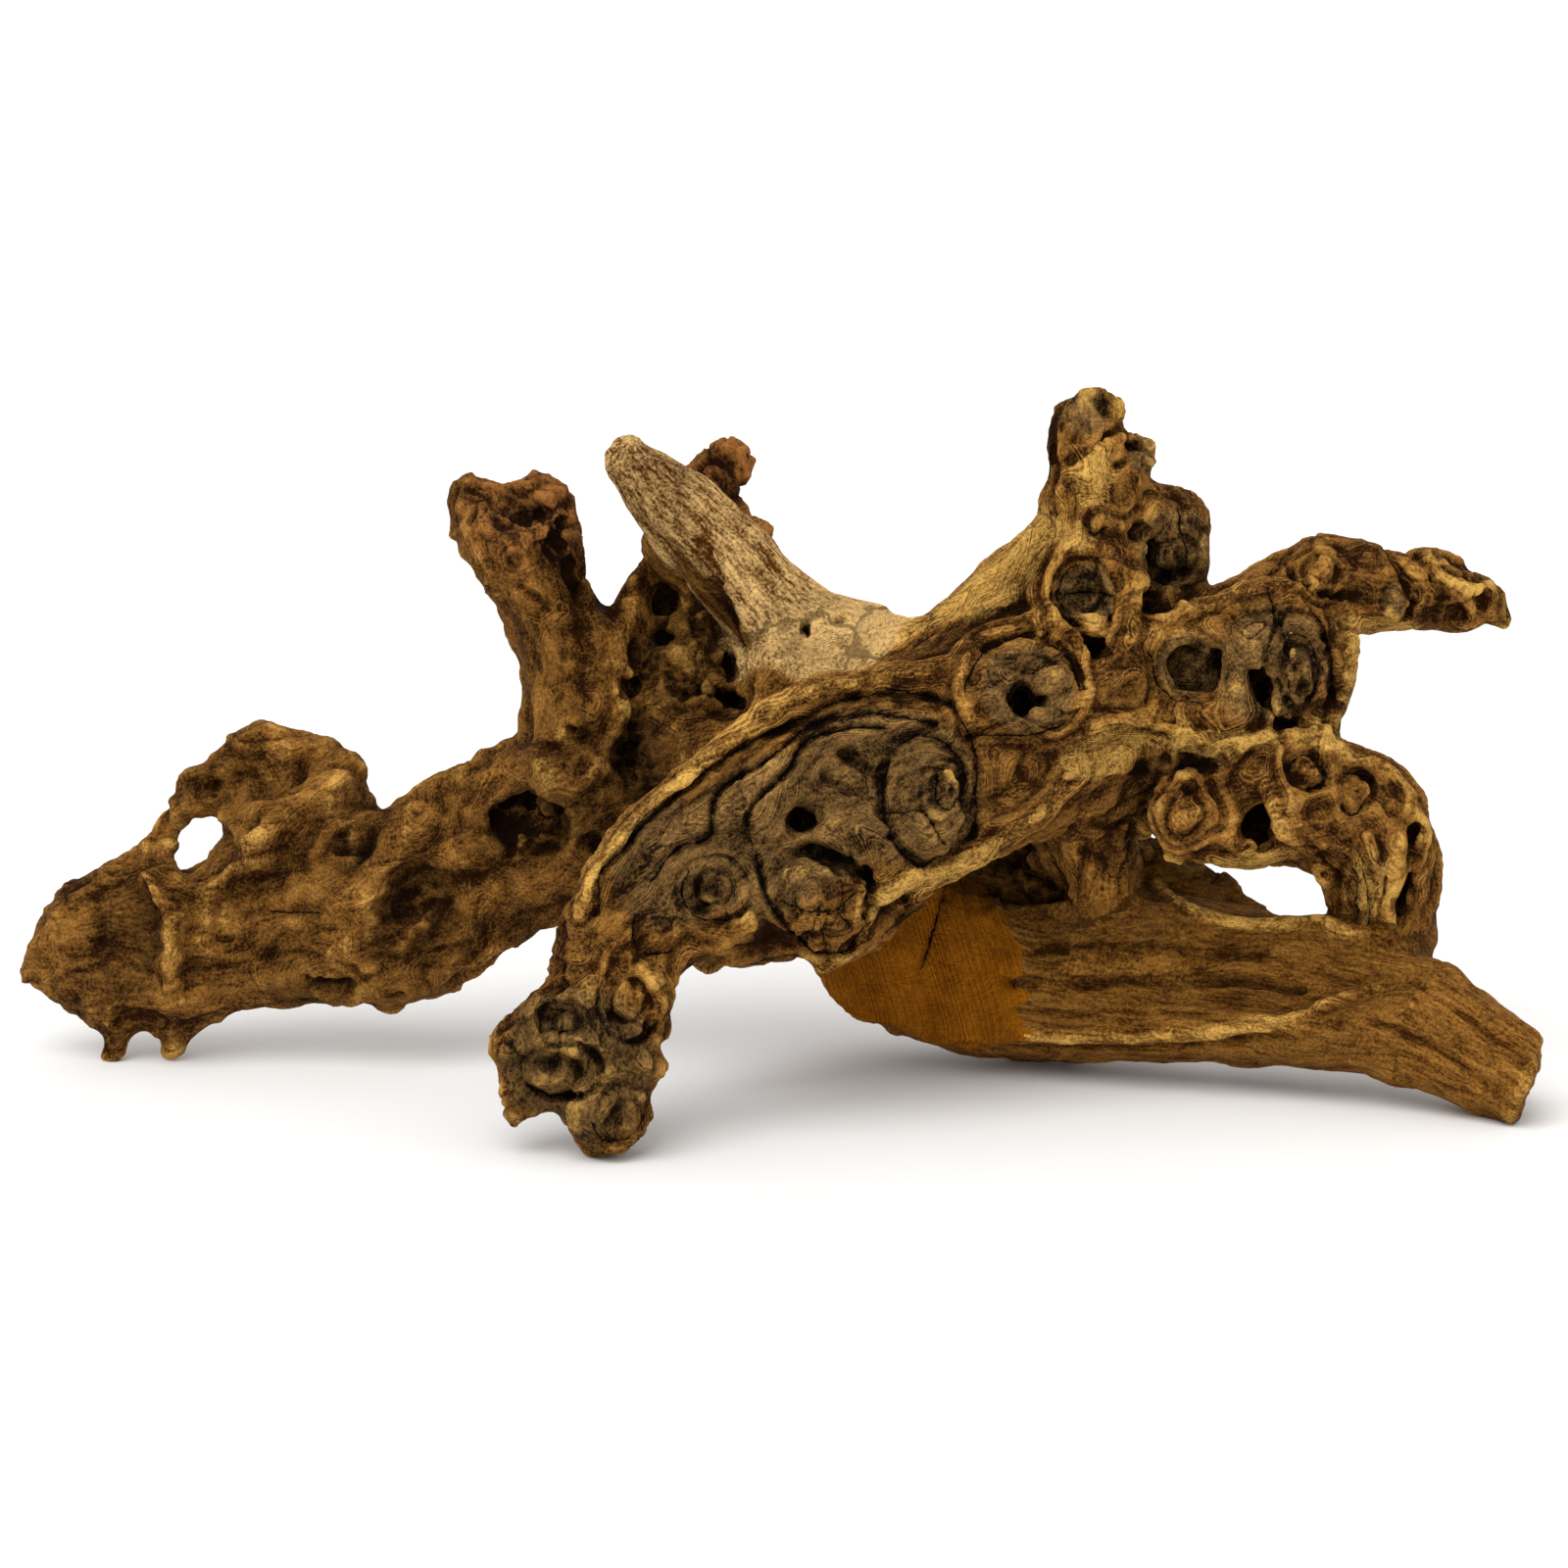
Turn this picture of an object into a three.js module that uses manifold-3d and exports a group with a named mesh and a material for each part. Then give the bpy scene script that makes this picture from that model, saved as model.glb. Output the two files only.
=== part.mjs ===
// A piece of driftwood: a gnarled, sandblasted root of a dense African hardwood.
// It grew as one piece, so it is one solid. Limbs are chains of round stations that melt
// into each other, hollows and holes are sunk into them, and the saw cuts are flat.
// Millimetres, +Z up. The origin is on the ground under the middle of the wood.

import * as THREE from "three";
import { mergeVertices } from "three/addons/utils/BufferGeometryUtils.js";
import { ImprovedNoise } from "three/addons/math/ImprovedNoise.js";
import { edgeTable, triTable } from "three/addons/objects/MarchingCubes.js";
import { SimplifyModifier } from "three/addons/modifiers/SimplifyModifier.js";
import Module from "manifold-3d";

// The wood is laid out as it is seen from the front, at real size, in three numbers:
// across (+ to the right), up, and away (+ further from the eye, which looks down a little).
const EYE_DISTANCE = 1400;
const EYE_ELEVATION = THREE.MathUtils.degToRad(12);
const GROUND_DROP = 78.3; // the ground lies this far below the middle of the layout

const BLEND = 6; // how far two limbs melt into each other
const HOLLOW_BLEND = 2.5; // how round a hollow's edge is
const LUMP_SIZE = 15; // spacing of the uneven lumps on every limb
const LUMP_HEIGHT = 1.3;
const CELL = 2.5; // spacing of the lattice that the surface is found on
const MARGIN = 10; // room left round the stations
const TRIANGLES = 11300; // the surface is thinned to about this many
const WOOD_COLOUR = "#7a4f22";

// A limb: how deep it is against its width, then stations [across, up, away, radius].
const LIMBS = {
  foot_heel: [1, [-44.5, -84, -55, 11.8], [-50, -69, -53, 13], [-43, -44, -49, 13]],
  foot_toe: [0.9, [-62, -67, -53, 12.8], [-54, -64, -53, 14]],
  foot_nub: [1, [-69, -84, -52, 3.8], [-62, -76, -53, 7]],
  foot_knuckle: [1, [-40.5, -57, -54, 10.8], [-43, -46, -50, 12]],
  foot_thorn: [1, [-31.5, -73, -54, 2], [-40, -70, -54, 6]],
  front_limb: [
    0.62,
    [-43, -42, -49, 15],
    [-27.5, -27, -44, 21],
    [-9, -19, -38, 28],
    [8, -11, -32, 33],
    [26, 0, -26, 28.5],
    [46, 9, -20, 29],
    [67, 15, -14, 27],
    [87, 20, -10, 21],
  ],
  plate_rim_upper: [
    1,
    [44, 27.5, -24, 3.6],
    [23, 25, -31, 3.8],
    [10, 22, -35, 4],
    [-2, 16.5, -40, 4],
    [-18, 5, -46, 4],
    [-38, -13, -52, 4],
    [-48, -26, -56, 4.5],
  ],
  plate_rim_lower: [
    1,
    [16, -40, -38, 4],
    [23, -31, -38, 4],
    [29, -26, -37, 4],
    [43, -20, -34, 4.2],
    [52, -15, -31, 4.5],
    [66, -4, -26, 5],
    [75, 8, -23, 5],
    [77, 20, -22, 4.5],
  ],
  plate_knot: [0.6, [37, -2, -38, 10], [38, 0, -38, 10]],
  plate_knot_lower: [0.6, [8, -27, -49, 11], [7, -24, -49, 11]],
  pale_ridge: [1.2, [30, 25, -10, 10], [46, 40, -8, 9], [60, 52.5, -6, 9], [74, 58, -6, 11]],
  core: [1, [0, 12, 6, 23], [25, 7, 6, 21], [50, 5, 4, 20], [70, 8, 2, 18]],
  core_knob: [1, [-20, -44.5, -4, 4], [-10, -30, 0, 9], [10, 0, 4, 18]],
  top_limb: [
    1,
    [77, 38, -8, 18],
    [77, 60, -7, 12],
    [78.5, 75, -6, 12],
    [78, 85, -6, 9.5],
    [76, 92, -6, 7.2],
    [79.5, 96, -6, 5],
  ],
  top_crown: [1, [81.5, 94, -7, 3.4], [74.5, 88, -6, 6.6]],
  top_tooth: [1, [90, 84, -6, 4.4], [80, 80, -6, 9]],
  top_lobe: [1, [98.5, 64, -2, 11.5], [100, 57, -4, 8.5], [86, 50, -6, 12]],
  right_burl: [1, [98, 27, -8, 17.5], [122, 32, -6, 21]],
  burl_chin: [1, [134, 15, -4, 6], [124, 20, -5, 10]],
  beak: [
    1,
    [126, 46, -3, 11],
    [139, 51.5, -1, 12.2],
    [152, 50, 2, 11],
    [162.5, 50.5, 4, 10.2],
    [171, 48, 5, 9],
    [178, 47.5, 6, 6],
    [184, 42, 6, 2.6],
  ],
  hook: [
    1,
    [103.5, -8, -16, 10.8],
    [118.5, -7, -11, 14.4],
    [134, -4.5, -5, 15.8],
    [147, -11.5, 1, 16.6],
    [152.5, -25, 7, 14.6],
    [152.5, -39, 12, 13.6],
    [150, -52, 16, 10],
  ],
  hook_rim: [
    1,
    [103, 3, -24, 3.6],
    [119, 8, -21, 3.8],
    [136, 9.5, -15, 4],
    [150, 4, -9, 4],
    [160, -6, -3, 4],
    [163.5, -20, 3, 3.8],
  ],
  hook_root: [1, [100, 12, -9, 13], [122, 4, -8, 11]],
  neck: [1, [77, 0, -4, 15], [77.5, -17, 8, 12.5], [76, -33, 18, 17]],
  log: [
    1,
    [30, -39.5, 32, 23],
    [55, -45.5, 27, 25.3],
    [77.5, -48, 22, 23],
    [100, -50, 14, 20.8],
    [125, -53, 6, 19],
    [145.5, -57, -2, 18],
    [163, -60.5, -9, 16.2],
    [171, -65.5, -13, 14.7],
    [186, -74.5, -19.5, 12.8],
    [203, -84, -26, 12.4],
  ],
  log_heel: [1, [68, -57, 34, 13], [66, -61.6, 36, 9.8]],
  log_shoulder: [1, [48, -26, 29, 10], [64, -21, 25, 10.5], [78, -18, 18, 11]],
  trough_back: [1, [88, -14, 22, 4], [102, -22, 24, 4.4], [119, -31, 22, 5]],
  trough_web: [0.6, [90, -22, 22, 6], [103, -28, 22, 6], [114, -34, 20, 6]],
  arm: [
    0.6,
    [-190, -47.5, 36, 5.6],
    [-181, -43.5, 36, 12.3],
    [-170, -41, 36, 20.5],
    [-153.5, -38.5, 35, 22.3],
    [-135, -35, 34, 22],
    [-116, -32.5, 32, 24],
    [-97.5, -30.5, 29, 25.5],
    [-80, -21, 26, 24],
    [-60, -9, 22, 23],
    [-40, -2, 16, 24],
    [-20, 5, 10, 24],
    [0, 12.5, 6, 22],
  ],
  arm_prong_left: [1, [-171.8, -68.8, 36, 2.8], [-169, -56, 36, 8]],
  arm_prong_right: [1, [-156, -68.8, 35.5, 2.8], [-153, -54, 35, 9]],
  fin: [
    0.55,
    [-149, -3, 36, 6],
    [-134, 5, 36, 11.5],
    [-120, 0, 35, 12.5],
    [-110.5, 4.5, 34, 4],
  ],
  fin_root: [0.8, [-127, -12, 35, 17], [-116, -14, 33, 14]],
  arm_ridge: [1, [-114, 0, 26, 3.2], [-130, -14, 20, 3.8], [-145, -27, 20, 3.4]],
  arm_rib: [1, [-164, -24, 23, 3], [-157, -36, 20, 3.6], [-156.5, -46, 21, 3.6], [-157, -58, 28, 3.4]],
  fin_strut: [1, [-151, -2, 38, 3.4], [-157, -11, 40, 3], [-162, -20, 39, 3.6]],
  horn: [
    1,
    [-51, 0, 16, 19],
    [-53, 21, 13, 14],
    [-55, 36, 12, 13.3],
    [-61, 49, 12, 13],
    [-67, 62, 12, 14],
  ],
  horn_rim_left: [1, [-79, 71, 12, 8], [-70, 62, 12, 10]],
  horn_rim_right: [1, [-62, 70.5, 13, 8.2], [-66, 60, 12, 10]],
  horn_apron: [0.5, [-55, 38, 4, 10], [-53, 18, 2, 11], [-53, 5, 2, 8]],
  horn_spur: [1, [-37, 53, 14, 2.4], [-41, 38, 14, 6]],
  back_body: [1, [-30, 45, 24, 8], [-29, 36, 25, 13], [-25, 24, 23, 20], [-6, 20, 20, 18]],
  pale_limb: [
    1,
    [-40, 82, -4, 6],
    [-33, 75.7, -3, 9.2],
    [-24.5, 68, -2, 11],
    [-16, 59, 0, 11.8],
    [-7.5, 49, 2, 12.7],
    [4, 36, 4, 15.5],
    [17.5, 29, 4, 18],
    [32, 23, 2, 17],
  ],
  back_spike: [
    0.7,
    [-13, 83, 26, 5.5],
    [-19, 79, 26, 6],
    [-16, 70, 26, 6.5],
    [-12, 55, 25, 8],
    [-2, 38, 22, 12],
  ],
  pale_rib: [1, [-33, 62, 8, 2.4], [-29, 48, 12, 4.5]],
  back_spike_bit: [1, [-5, 64.5, 26, 2.6], [-8, 56, 25, 6]],
};

// Hollows sunk from the front: [across, up, half width, half height, lean in degrees, depth].
const FRONT_HOLLOWS = {
  front_eye_upper: [5, -9, 4.5, 4.5, -20, 12],
  front_eye_lower: [10.5, -19, 8, 3.4, -25, 9],
  front_bowl_small: [-18, -29, 6, 5, 0, 3],
  plate_socket: [62, 21, 5, 5, 0, 14],
  plate_pit: [78, 36, 4, 4.5, 30, 8],
  burl_bowl: [106, 30, 8.5, 8.5, 0, 8],
  burl_socket: [122.5, 25, 4.5, 7, 10, 14],
  hook_socket: [121, -10, 6, 7, 20, 11],
  hook_slit: [158, -29, 1.8, 7, 5, 6],
  lobe_bowl: [96, 57, 9, 6, -30, 6],
  log_trough: [92, -49, 36, 9, -3, 8],
  log_dip: [64, -26, 10, 5, -10, 6],
  arm_bowl: [-95, -32, 11, 12.5, 0, 7],
  arm_bowl_inner: [-64, -10, 10, 9.5, 20, 9],
  arm_dish: [-166, -37, 8, 12, 10, 4],
  arm_notch: [-111, -15, 6, 8, -20, 6],
  foot_eye: [-56, -61, 4.5, 4.5, 0, 5],
  foot_bowl: [-59, -74, 8.5, 6, 0, 4],
  foot_cup: [-43, -54, 4.5, 7, 0, 4],
  horn_mouth: [-67, 71, 8, 4, -10, 7],
  back_socket: [-31, 46.5, 4.5, 4, 0, 7],
  back_cave: [-15, 24, 7, 9, 20, 8],
};

// Hollows sunk from behind, written the same way.
const REAR_HOLLOWS = {
  rear_arm: [-120, -28, 16, 10, 10, 5],
  rear_shoulder: [-40, 10, 13, 9, 25, 6],
  rear_core: [40, 14, 14, 10, -20, 7],
  rear_burl: [112, 30, 10, 8, 0, 6],
  rear_hook: [143, -14, 8, 8, 0, 5],
  rear_log: [110, -48, 30, 7, -5, 5],
};

// Holes right through, written the same way but with no depth.
const THROUGH_HOLES = { arm_window: [-150, -16.5, 4.6, 6.6, -15] };

// Saw cuts across a limb: a point on the cut [across, up, away], and which way it faces.
const SAW_CUTS = {
  log: [
    { point: [56, -45, 5], facing: [-0.5, -0.05, -0.86] },
    { point: [191.5, -74, -20], facing: [0.93, -0.3, -0.2] },
  ],
};

const noise = new ImprovedNoise();

// A laid-out place in true millimetres: what is further away looks smaller.
function trueScale(away) {
  return 1 + away / EYE_DISTANCE;
}

function truePlace([across, up, away]) {
  return new THREE.Vector3(across * trueScale(away), up * trueScale(away), away);
}

// One stretch of a limb between two stations.
function segmentBetween(start, end, flatness) {
  const from = truePlace(start);
  const along = truePlace(end).sub(from);
  const radius = start[3] * trueScale(start[2]);
  const growth = end[3] * trueScale(end[2]) - radius;
  return { from, along, flatness, radius, growth, lengthSq: along.lengthSq() };
}

function limbShape([name, [flatness, ...stations]]) {
  const segments = stations.slice(1).map((end, i) => segmentBetween(stations[i], end, flatness));
  const box = new THREE.Box3();
  for (const station of stations) {
    const reach = station[3] * trueScale(station[2]) * Math.max(1, flatness);
    const size = new THREE.Vector3(2, 2, 2).multiplyScalar(reach);
    box.union(new THREE.Box3().setFromCenterAndSize(truePlace(station), size));
  }
  const cuts = (SAW_CUTS[name] ?? []).map(({ point, facing }) =>
    new THREE.Plane().setFromNormalAndCoplanarPoint(
      new THREE.Vector3(...facing).normalize(),
      truePlace(point),
    ),
  );
  return { segments, box, cuts };
}
const limbs = Object.entries(LIMBS).map(limbShape);

// Signed distance to one tapering segment, with its section flattened in depth.
function segmentDistance(s, p) {
  const dx = p.x - s.from.x;
  const dy = p.y - s.from.y;
  const dz = p.z - s.from.z;
  const share = (dx * s.along.x + dy * s.along.y + dz * s.along.z) / s.lengthSq;
  const t = Math.min(1, Math.max(0, share));
  const across = dx - t * s.along.x;
  const up = dy - t * s.along.y;
  const away = (dz - t * s.along.z) / s.flatness;
  return Math.hypot(across, up, away) - (s.radius + t * s.growth);
}

function smoothMin(a, b, blend) {
  const near = Math.max(blend - Math.abs(a - b), 0) / blend;
  return Math.min(a, b) - (near * near * blend) / 4;
}

// Signed distance to the limbs: below nought inside the wood.
function limbsDistance(p) {
  const lumps = LUMP_HEIGHT * noise.noise(p.x / LUMP_SIZE, p.y / LUMP_SIZE, p.z / LUMP_SIZE);
  let distance = Infinity;
  for (const { segments, box, cuts } of limbs) {
    if (box.distanceToPoint(p) > Math.max(distance, 0) + MARGIN) continue;
    let limb = Infinity;
    for (const s of segments) limb = Math.min(limb, segmentDistance(s, p));
    limb += lumps;
    for (const cut of cuts) limb = Math.max(limb, cut.distanceToPoint(p));
    distance = smoothMin(distance, limb, BLEND);
  }
  return Math.min(distance, MARGIN);
}

// How far away the wood is on the line of sight through a laid-out place, coming from one side.
function surfaceAway(across, up, fromBehind) {
  const REACH = 110;
  const STEP = fromBehind ? -0.5 : 0.5;
  for (let away = -Math.sign(STEP) * REACH; Math.abs(away) <= REACH; away += STEP) {
    if (limbsDistance(truePlace([across, up, away])) < 0) return away;
  }
  throw new Error(`there is no wood at ${across}, ${up}`);
}

function hollowShape([across, up, halfWidth, halfHeight, lean, depth], fromBehind) {
  const away = depth === undefined ? 0 : surfaceAway(across, up, fromBehind);
  const turn = THREE.MathUtils.degToRad(lean);
  return {
    across,
    up,
    away,
    halfWidth,
    halfHeight,
    depth: depth ?? Infinity,
    cos: Math.cos(turn),
    sin: Math.sin(turn),
    smallest: Math.min(halfWidth, halfHeight, depth ?? Infinity),
  };
}
const hollows = [
  ...Object.values(FRONT_HOLLOWS).map((h) => hollowShape(h, false)),
  ...Object.values(REAR_HOLLOWS).map((h) => hollowShape(h, true)),
  ...Object.values(THROUGH_HOLES).map((h) => hollowShape(h, false)),
];

// Signed distance to a hollow, good near its wall: an ellipsoid whose axis is the line of sight.
function hollowDistance(h, p) {
  const dx = p.x / trueScale(p.z) - h.across;
  const dy = p.y / trueScale(p.z) - h.up;
  const across = (dx * h.cos + dy * h.sin) / h.halfWidth;
  const up = (dy * h.cos - dx * h.sin) / h.halfHeight;
  const away = (p.z - h.away) / h.depth;
  return (Math.hypot(across, up, away) - 1) * h.smallest;
}

function woodDistance(p) {
  let distance = limbsDistance(p);
  if (distance >= MARGIN) return distance;
  for (const h of hollows) {
    distance = -smoothMin(-distance, hollowDistance(h, p), HOLLOW_BLEND);
  }
  return distance;
}

// The lattice: a box of points that holds every limb, with the distance at each.
function sampleLattice() {
  const box = new THREE.Box3();
  for (const limb of limbs) box.union(limb.box);
  box.expandByScalar(MARGIN / 2);
  const count = box.getSize(new THREE.Vector3()).divideScalar(CELL).ceil().addScalar(1);
  const place = (i, j, k) => new THREE.Vector3(i, j, k).multiplyScalar(CELL).add(box.min);
  const index = (i, j, k) => i + count.x * (j + count.y * k);
  const values = new Float64Array(count.x * count.y * count.z);
  for (let k = 0; k < count.z; k++) {
    for (let j = 0; j < count.y; j++) {
      for (let i = 0; i < count.x; i++) values[index(i, j, k)] = woodDistance(place(i, j, k));
    }
  }
  return { count, place, index, values };
}

// Marching cubes: a cell's corners, and the corners that each of its edges joins.
const CORNERS = [
  [0, 0, 0],
  [1, 0, 0],
  [1, 1, 0],
  [0, 1, 0],
  [0, 0, 1],
  [1, 0, 1],
  [1, 1, 1],
  [0, 1, 1],
];
const RING = [0, 1, 2, 3];
const EDGES = [
  ...RING.map((n) => [n, (n + 1) % 4]),
  ...RING.map((n) => [4 + n, 4 + ((n + 1) % 4)]),
  ...RING.map((n) => [n, n + 4]),
];

// The closed surface where the distance is nought.
function surfaceGeometry() {
  const { count, place, index, values } = sampleLattice();
  const points = [];
  const triangles = [];
  const crossings = new Map();

  function crossingBetween(a, b) {
    const ia = index(...a);
    const ib = index(...b);
    const key = Math.min(ia, ib) * values.length + Math.max(ia, ib);
    if (!crossings.has(key)) {
      crossings.set(key, points.length);
      points.push(place(...a).lerp(place(...b), values[ia] / (values[ia] - values[ib])));
    }
    return crossings.get(key);
  }

  function meshCell(i, j, k) {
    let inside = 0;
    CORNERS.forEach(([a, b, c], n) => {
      if (values[index(i + a, j + b, k + c)] < 0) inside |= 1 << n;
    });
    if (!edgeTable[inside]) return;
    const corners = CORNERS.map(([a, b, c]) => [i + a, j + b, k + c]);
    for (let n = inside * 16; triTable[n] !== -1; n++) {
      const [a, b] = EDGES[triTable[n]];
      triangles.push(crossingBetween(corners[a], corners[b]));
    }
  }

  for (let k = 0; k < count.z - 1; k++) {
    for (let j = 0; j < count.y - 1; j++) {
      for (let i = 0; i < count.x - 1; i++) meshCell(i, j, k);
    }
  }
  return new THREE.BufferGeometry().setFromPoints(points).setIndex(triangles);
}

// Flat areas keep few triangles, and sharp ones keep many.
async function thinned(geometry) {
  const spare = Math.round((geometry.index.count / 3 - TRIANGLES) / 2);
  return await new SimplifyModifier().modify(geometry, spare);
}

// From the layout's axes (across, up, away) to a frame that stands on the ground.
function standUp(geometry) {
  const sin = Math.sin(EYE_ELEVATION);
  const cos = Math.cos(EYE_ELEVATION);
  const across = new THREE.Vector3(1, 0, 0);
  const up = new THREE.Vector3(0, sin, cos);
  const away = new THREE.Vector3(0, cos, -sin);
  const stand = new THREE.Matrix4().makeBasis(across, up, away);
  return geometry.applyMatrix4(stand.setPosition(0, 0, GROUND_DROP));
}

const wasm = await Module();
wasm.setup();

function solidOf(geometry) {
  return new wasm.Manifold(
    new wasm.Mesh({
      numProp: 3,
      vertProperties: new Float32Array(geometry.attributes.position.array),
      triVerts: new Uint32Array(geometry.index.array),
    }),
  );
}

function geometryOf(solid) {
  const { vertProperties, triVerts } = solid.getMesh();
  const geometry = new THREE.BufferGeometry();
  geometry.setAttribute("position", new THREE.BufferAttribute(vertProperties, 3));
  return geometry.setIndex(new THREE.BufferAttribute(triVerts, 1));
}

// Everything below the ground is worn off, which leaves a small flat on each foot.
function wornFlat(geometry) {
  const DEPTH = 100;
  const SPAN = 1000;
  const ground = new THREE.BoxGeometry(SPAN, SPAN, DEPTH).translate(0, 0, -DEPTH / 2);
  ground.deleteAttribute("normal");
  ground.deleteAttribute("uv");
  return geometryOf(solidOf(geometry).subtract(solidOf(mergeVertices(ground))));
}

function centred(geometry) {
  geometry.computeBoundingBox();
  const middle = geometry.boundingBox.getCenter(new THREE.Vector3());
  return geometry.translate(-middle.x, -middle.y, 0);
}

const geometry = centred(wornFlat(standUp(await thinned(surfaceGeometry()))));
geometry.computeVertexNormals();

const wood = new THREE.Mesh(
  geometry,
  new THREE.MeshStandardMaterial({ color: WOOD_COLOUR, roughness: 0.8, metalness: 0 }),
);
wood.name = "driftwood";

const group = new THREE.Group();
group.add(wood);

export default group;
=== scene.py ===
# %% [markdown]
# # A piece of driftwood
# The object is the root of a dense African hardwood that was dug up, sandblasted clean and sawn off
# at its thick end. It grew as one piece, so the picture shows one mesh that stands for the one solid.
# The solid gives the size, the limbs and the large hollows. This lesson adds what a hand feels on the
# wood: knots, sockets, rims, cracks, growth rings and grain.

import math

import bpy
import numpy as np
import openvdb as vdb
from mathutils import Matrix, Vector


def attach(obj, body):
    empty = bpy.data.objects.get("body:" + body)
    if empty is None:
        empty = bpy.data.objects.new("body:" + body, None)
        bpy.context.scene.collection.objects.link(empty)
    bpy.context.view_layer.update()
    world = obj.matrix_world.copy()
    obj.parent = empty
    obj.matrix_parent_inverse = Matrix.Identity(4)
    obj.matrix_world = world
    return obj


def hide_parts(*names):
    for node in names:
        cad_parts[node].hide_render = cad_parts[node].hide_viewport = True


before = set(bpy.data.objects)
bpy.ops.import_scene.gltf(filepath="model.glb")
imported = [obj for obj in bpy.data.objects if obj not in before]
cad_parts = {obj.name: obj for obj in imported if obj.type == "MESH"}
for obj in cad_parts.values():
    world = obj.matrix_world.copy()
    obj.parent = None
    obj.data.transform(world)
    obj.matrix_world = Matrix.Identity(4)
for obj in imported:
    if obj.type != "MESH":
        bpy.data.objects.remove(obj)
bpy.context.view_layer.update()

# %% [markdown]
# ## The line of sight
# Details are placed by where they lie in the photograph, in its own pixels. A pixel is a straight line
# from the eye through the wood, so the eye's place has to be known: it is 1.4 m away, and looks down
# by 12 degrees. Working in the eye's axes (across, up, towards the eye) makes each line easy to follow.

# %% The line of sight
MM = 0.001
EYE_DISTANCE = 1400.0
EYE_ELEVATION = math.radians(12)
PHOTO_SIDE = 1600
PIXEL = 0.25  # millimetres that a pixel covers at the middle of the wood
PHOTO_CENTRE = np.array([4.06, 17.01, 78.3])  # millimetres, the point in the middle of the photograph

ACROSS = np.array([1.0, 0.0, 0.0])
UP = np.array([0.0, math.sin(EYE_ELEVATION), math.cos(EYE_ELEVATION)])
TOWARDS = np.array([0.0, -math.cos(EYE_ELEVATION), math.sin(EYE_ELEVATION)])
EYE_AXES = np.stack([ACROSS, UP, TOWARDS])


def in_eye_axes(points):
    return (points - PHOTO_CENTRE) @ EYE_AXES.T


def in_part_axes(points):
    return points @ EYE_AXES + PHOTO_CENTRE


def on_sight_line(place, towards):
    scale = (1 - np.asarray(towards) / EYE_DISTANCE) * PIXEL
    across = (place[0] - PHOTO_SIDE / 2) * scale
    up = (PHOTO_SIDE / 2 - place[1]) * scale
    return np.stack(np.broadcast_arrays(across, up, towards), axis=-1)


print("the eye looks along", -TOWARDS)

# %% [markdown]
# ## Wood as a block of distances
# Eroded wood is hard to push and pull as a mesh, because holes join and thin walls break. Here the
# solid becomes a block of small cells instead, and each cell holds its distance to the surface, below
# nought inside. Carving is then a matter of larger and smaller numbers, as with clay. Blender's own
# OpenVDB library turns the solid into such a block and back.

# %% The block
CELL = 0.75  # millimetres
BAND = 6  # cells on each side of the surface that hold true distances
ROOM = 6.0  # millimetres of air round the wood

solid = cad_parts["driftwood"].data
solid.calc_loop_triangles()
corners = np.empty(len(solid.vertices) * 3, np.float32)
solid.vertices.foreach_get("co", corners)
corners = in_eye_axes(corners.reshape(-1, 3) / MM)
triangles = np.empty(len(solid.loop_triangles) * 3, np.int32)
solid.loop_triangles.foreach_get("vertices", triangles)

first_cell = np.floor((corners.min(0) - ROOM) / CELL).astype(int)
last_cell = np.ceil((corners.max(0) + ROOM) / CELL).astype(int)
BLOCK_LOW = first_cell * CELL
millimetres = vdb.createLinearTransform(voxelSize=CELL)
level_set = vdb.FloatGrid.createLevelSetFromPolygons(
    corners.astype(np.float32), triangles=triangles.reshape(-1, 3), transform=millimetres, halfWidth=BAND
)
block = np.empty(last_cell - first_cell + 1, np.float32)
level_set.copyToArray(block, ijk=tuple(int(n) for n in first_cell))
print("a block of", block.shape, "cells of which", int((block < 0).sum()), "are wood")

# %% [markdown]
# ## Facets worn away
# The solid has flat facets a few millimetres wide. Blurring the distances wears them round, as sand
# does, before any detail is cut.

# %% Blur
WEAR_ROUNDS = 3


def wear(values, rounds):
    for _ in range(rounds):
        for axis in range(3):
            lines = np.moveaxis(values, axis, 0)
            lines[1:-1] = (lines[:-2] + 2 * lines[1:-1] + lines[2:]) / 4


wear(block, WEAR_ROUNDS)
print("worn", WEAR_ROUNDS, "times")

# %% [markdown]
# ## Chance lumps
# Nature is uneven, so a block of seeded chance numbers, read between its cells, gives soft lumps of any
# size. The same lumps serve for wandering edges, for folds and for fibres.

# %% Chance lumps
CHANCE_SEED = 11
CHANCE_SIDE = 64
LUMP_TRIED = 7.0  # millimetres

chance = np.random.default_rng(CHANCE_SEED)
chance_block = chance.uniform(-1, 1, (CHANCE_SIDE,) * 3).astype(np.float32)


def read_between(values, places, soft=False):
    cells = np.floor(places).astype(np.int32)
    parts = (places - cells).astype(np.float32)
    if soft:
        parts = parts * parts * (3 - 2 * parts)
    total = np.zeros(len(places), np.float32)
    for corner in np.ndindex(2, 2, 2):
        weight = np.prod(np.where(corner, parts, 1 - parts), axis=1)
        total += weight * values[tuple(((cells + corner) % values.shape).T)]
    return total


def lumps(points, size):
    return read_between(chance_block, points / np.float32(size) + CHANCE_SIDE / 2, soft=True)


tried = lumps(corners, LUMP_TRIED)
print("lumps reach", tried.min(), "to", tried.max())

# %% [markdown]
# ## Where a line of sight meets the wood
# Every mark on the wood starts at the place where the line of sight through its pixel first meets the
# wood, or passes closest to it. A mark sits on what carries it in this way, however deep that lies.

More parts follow.
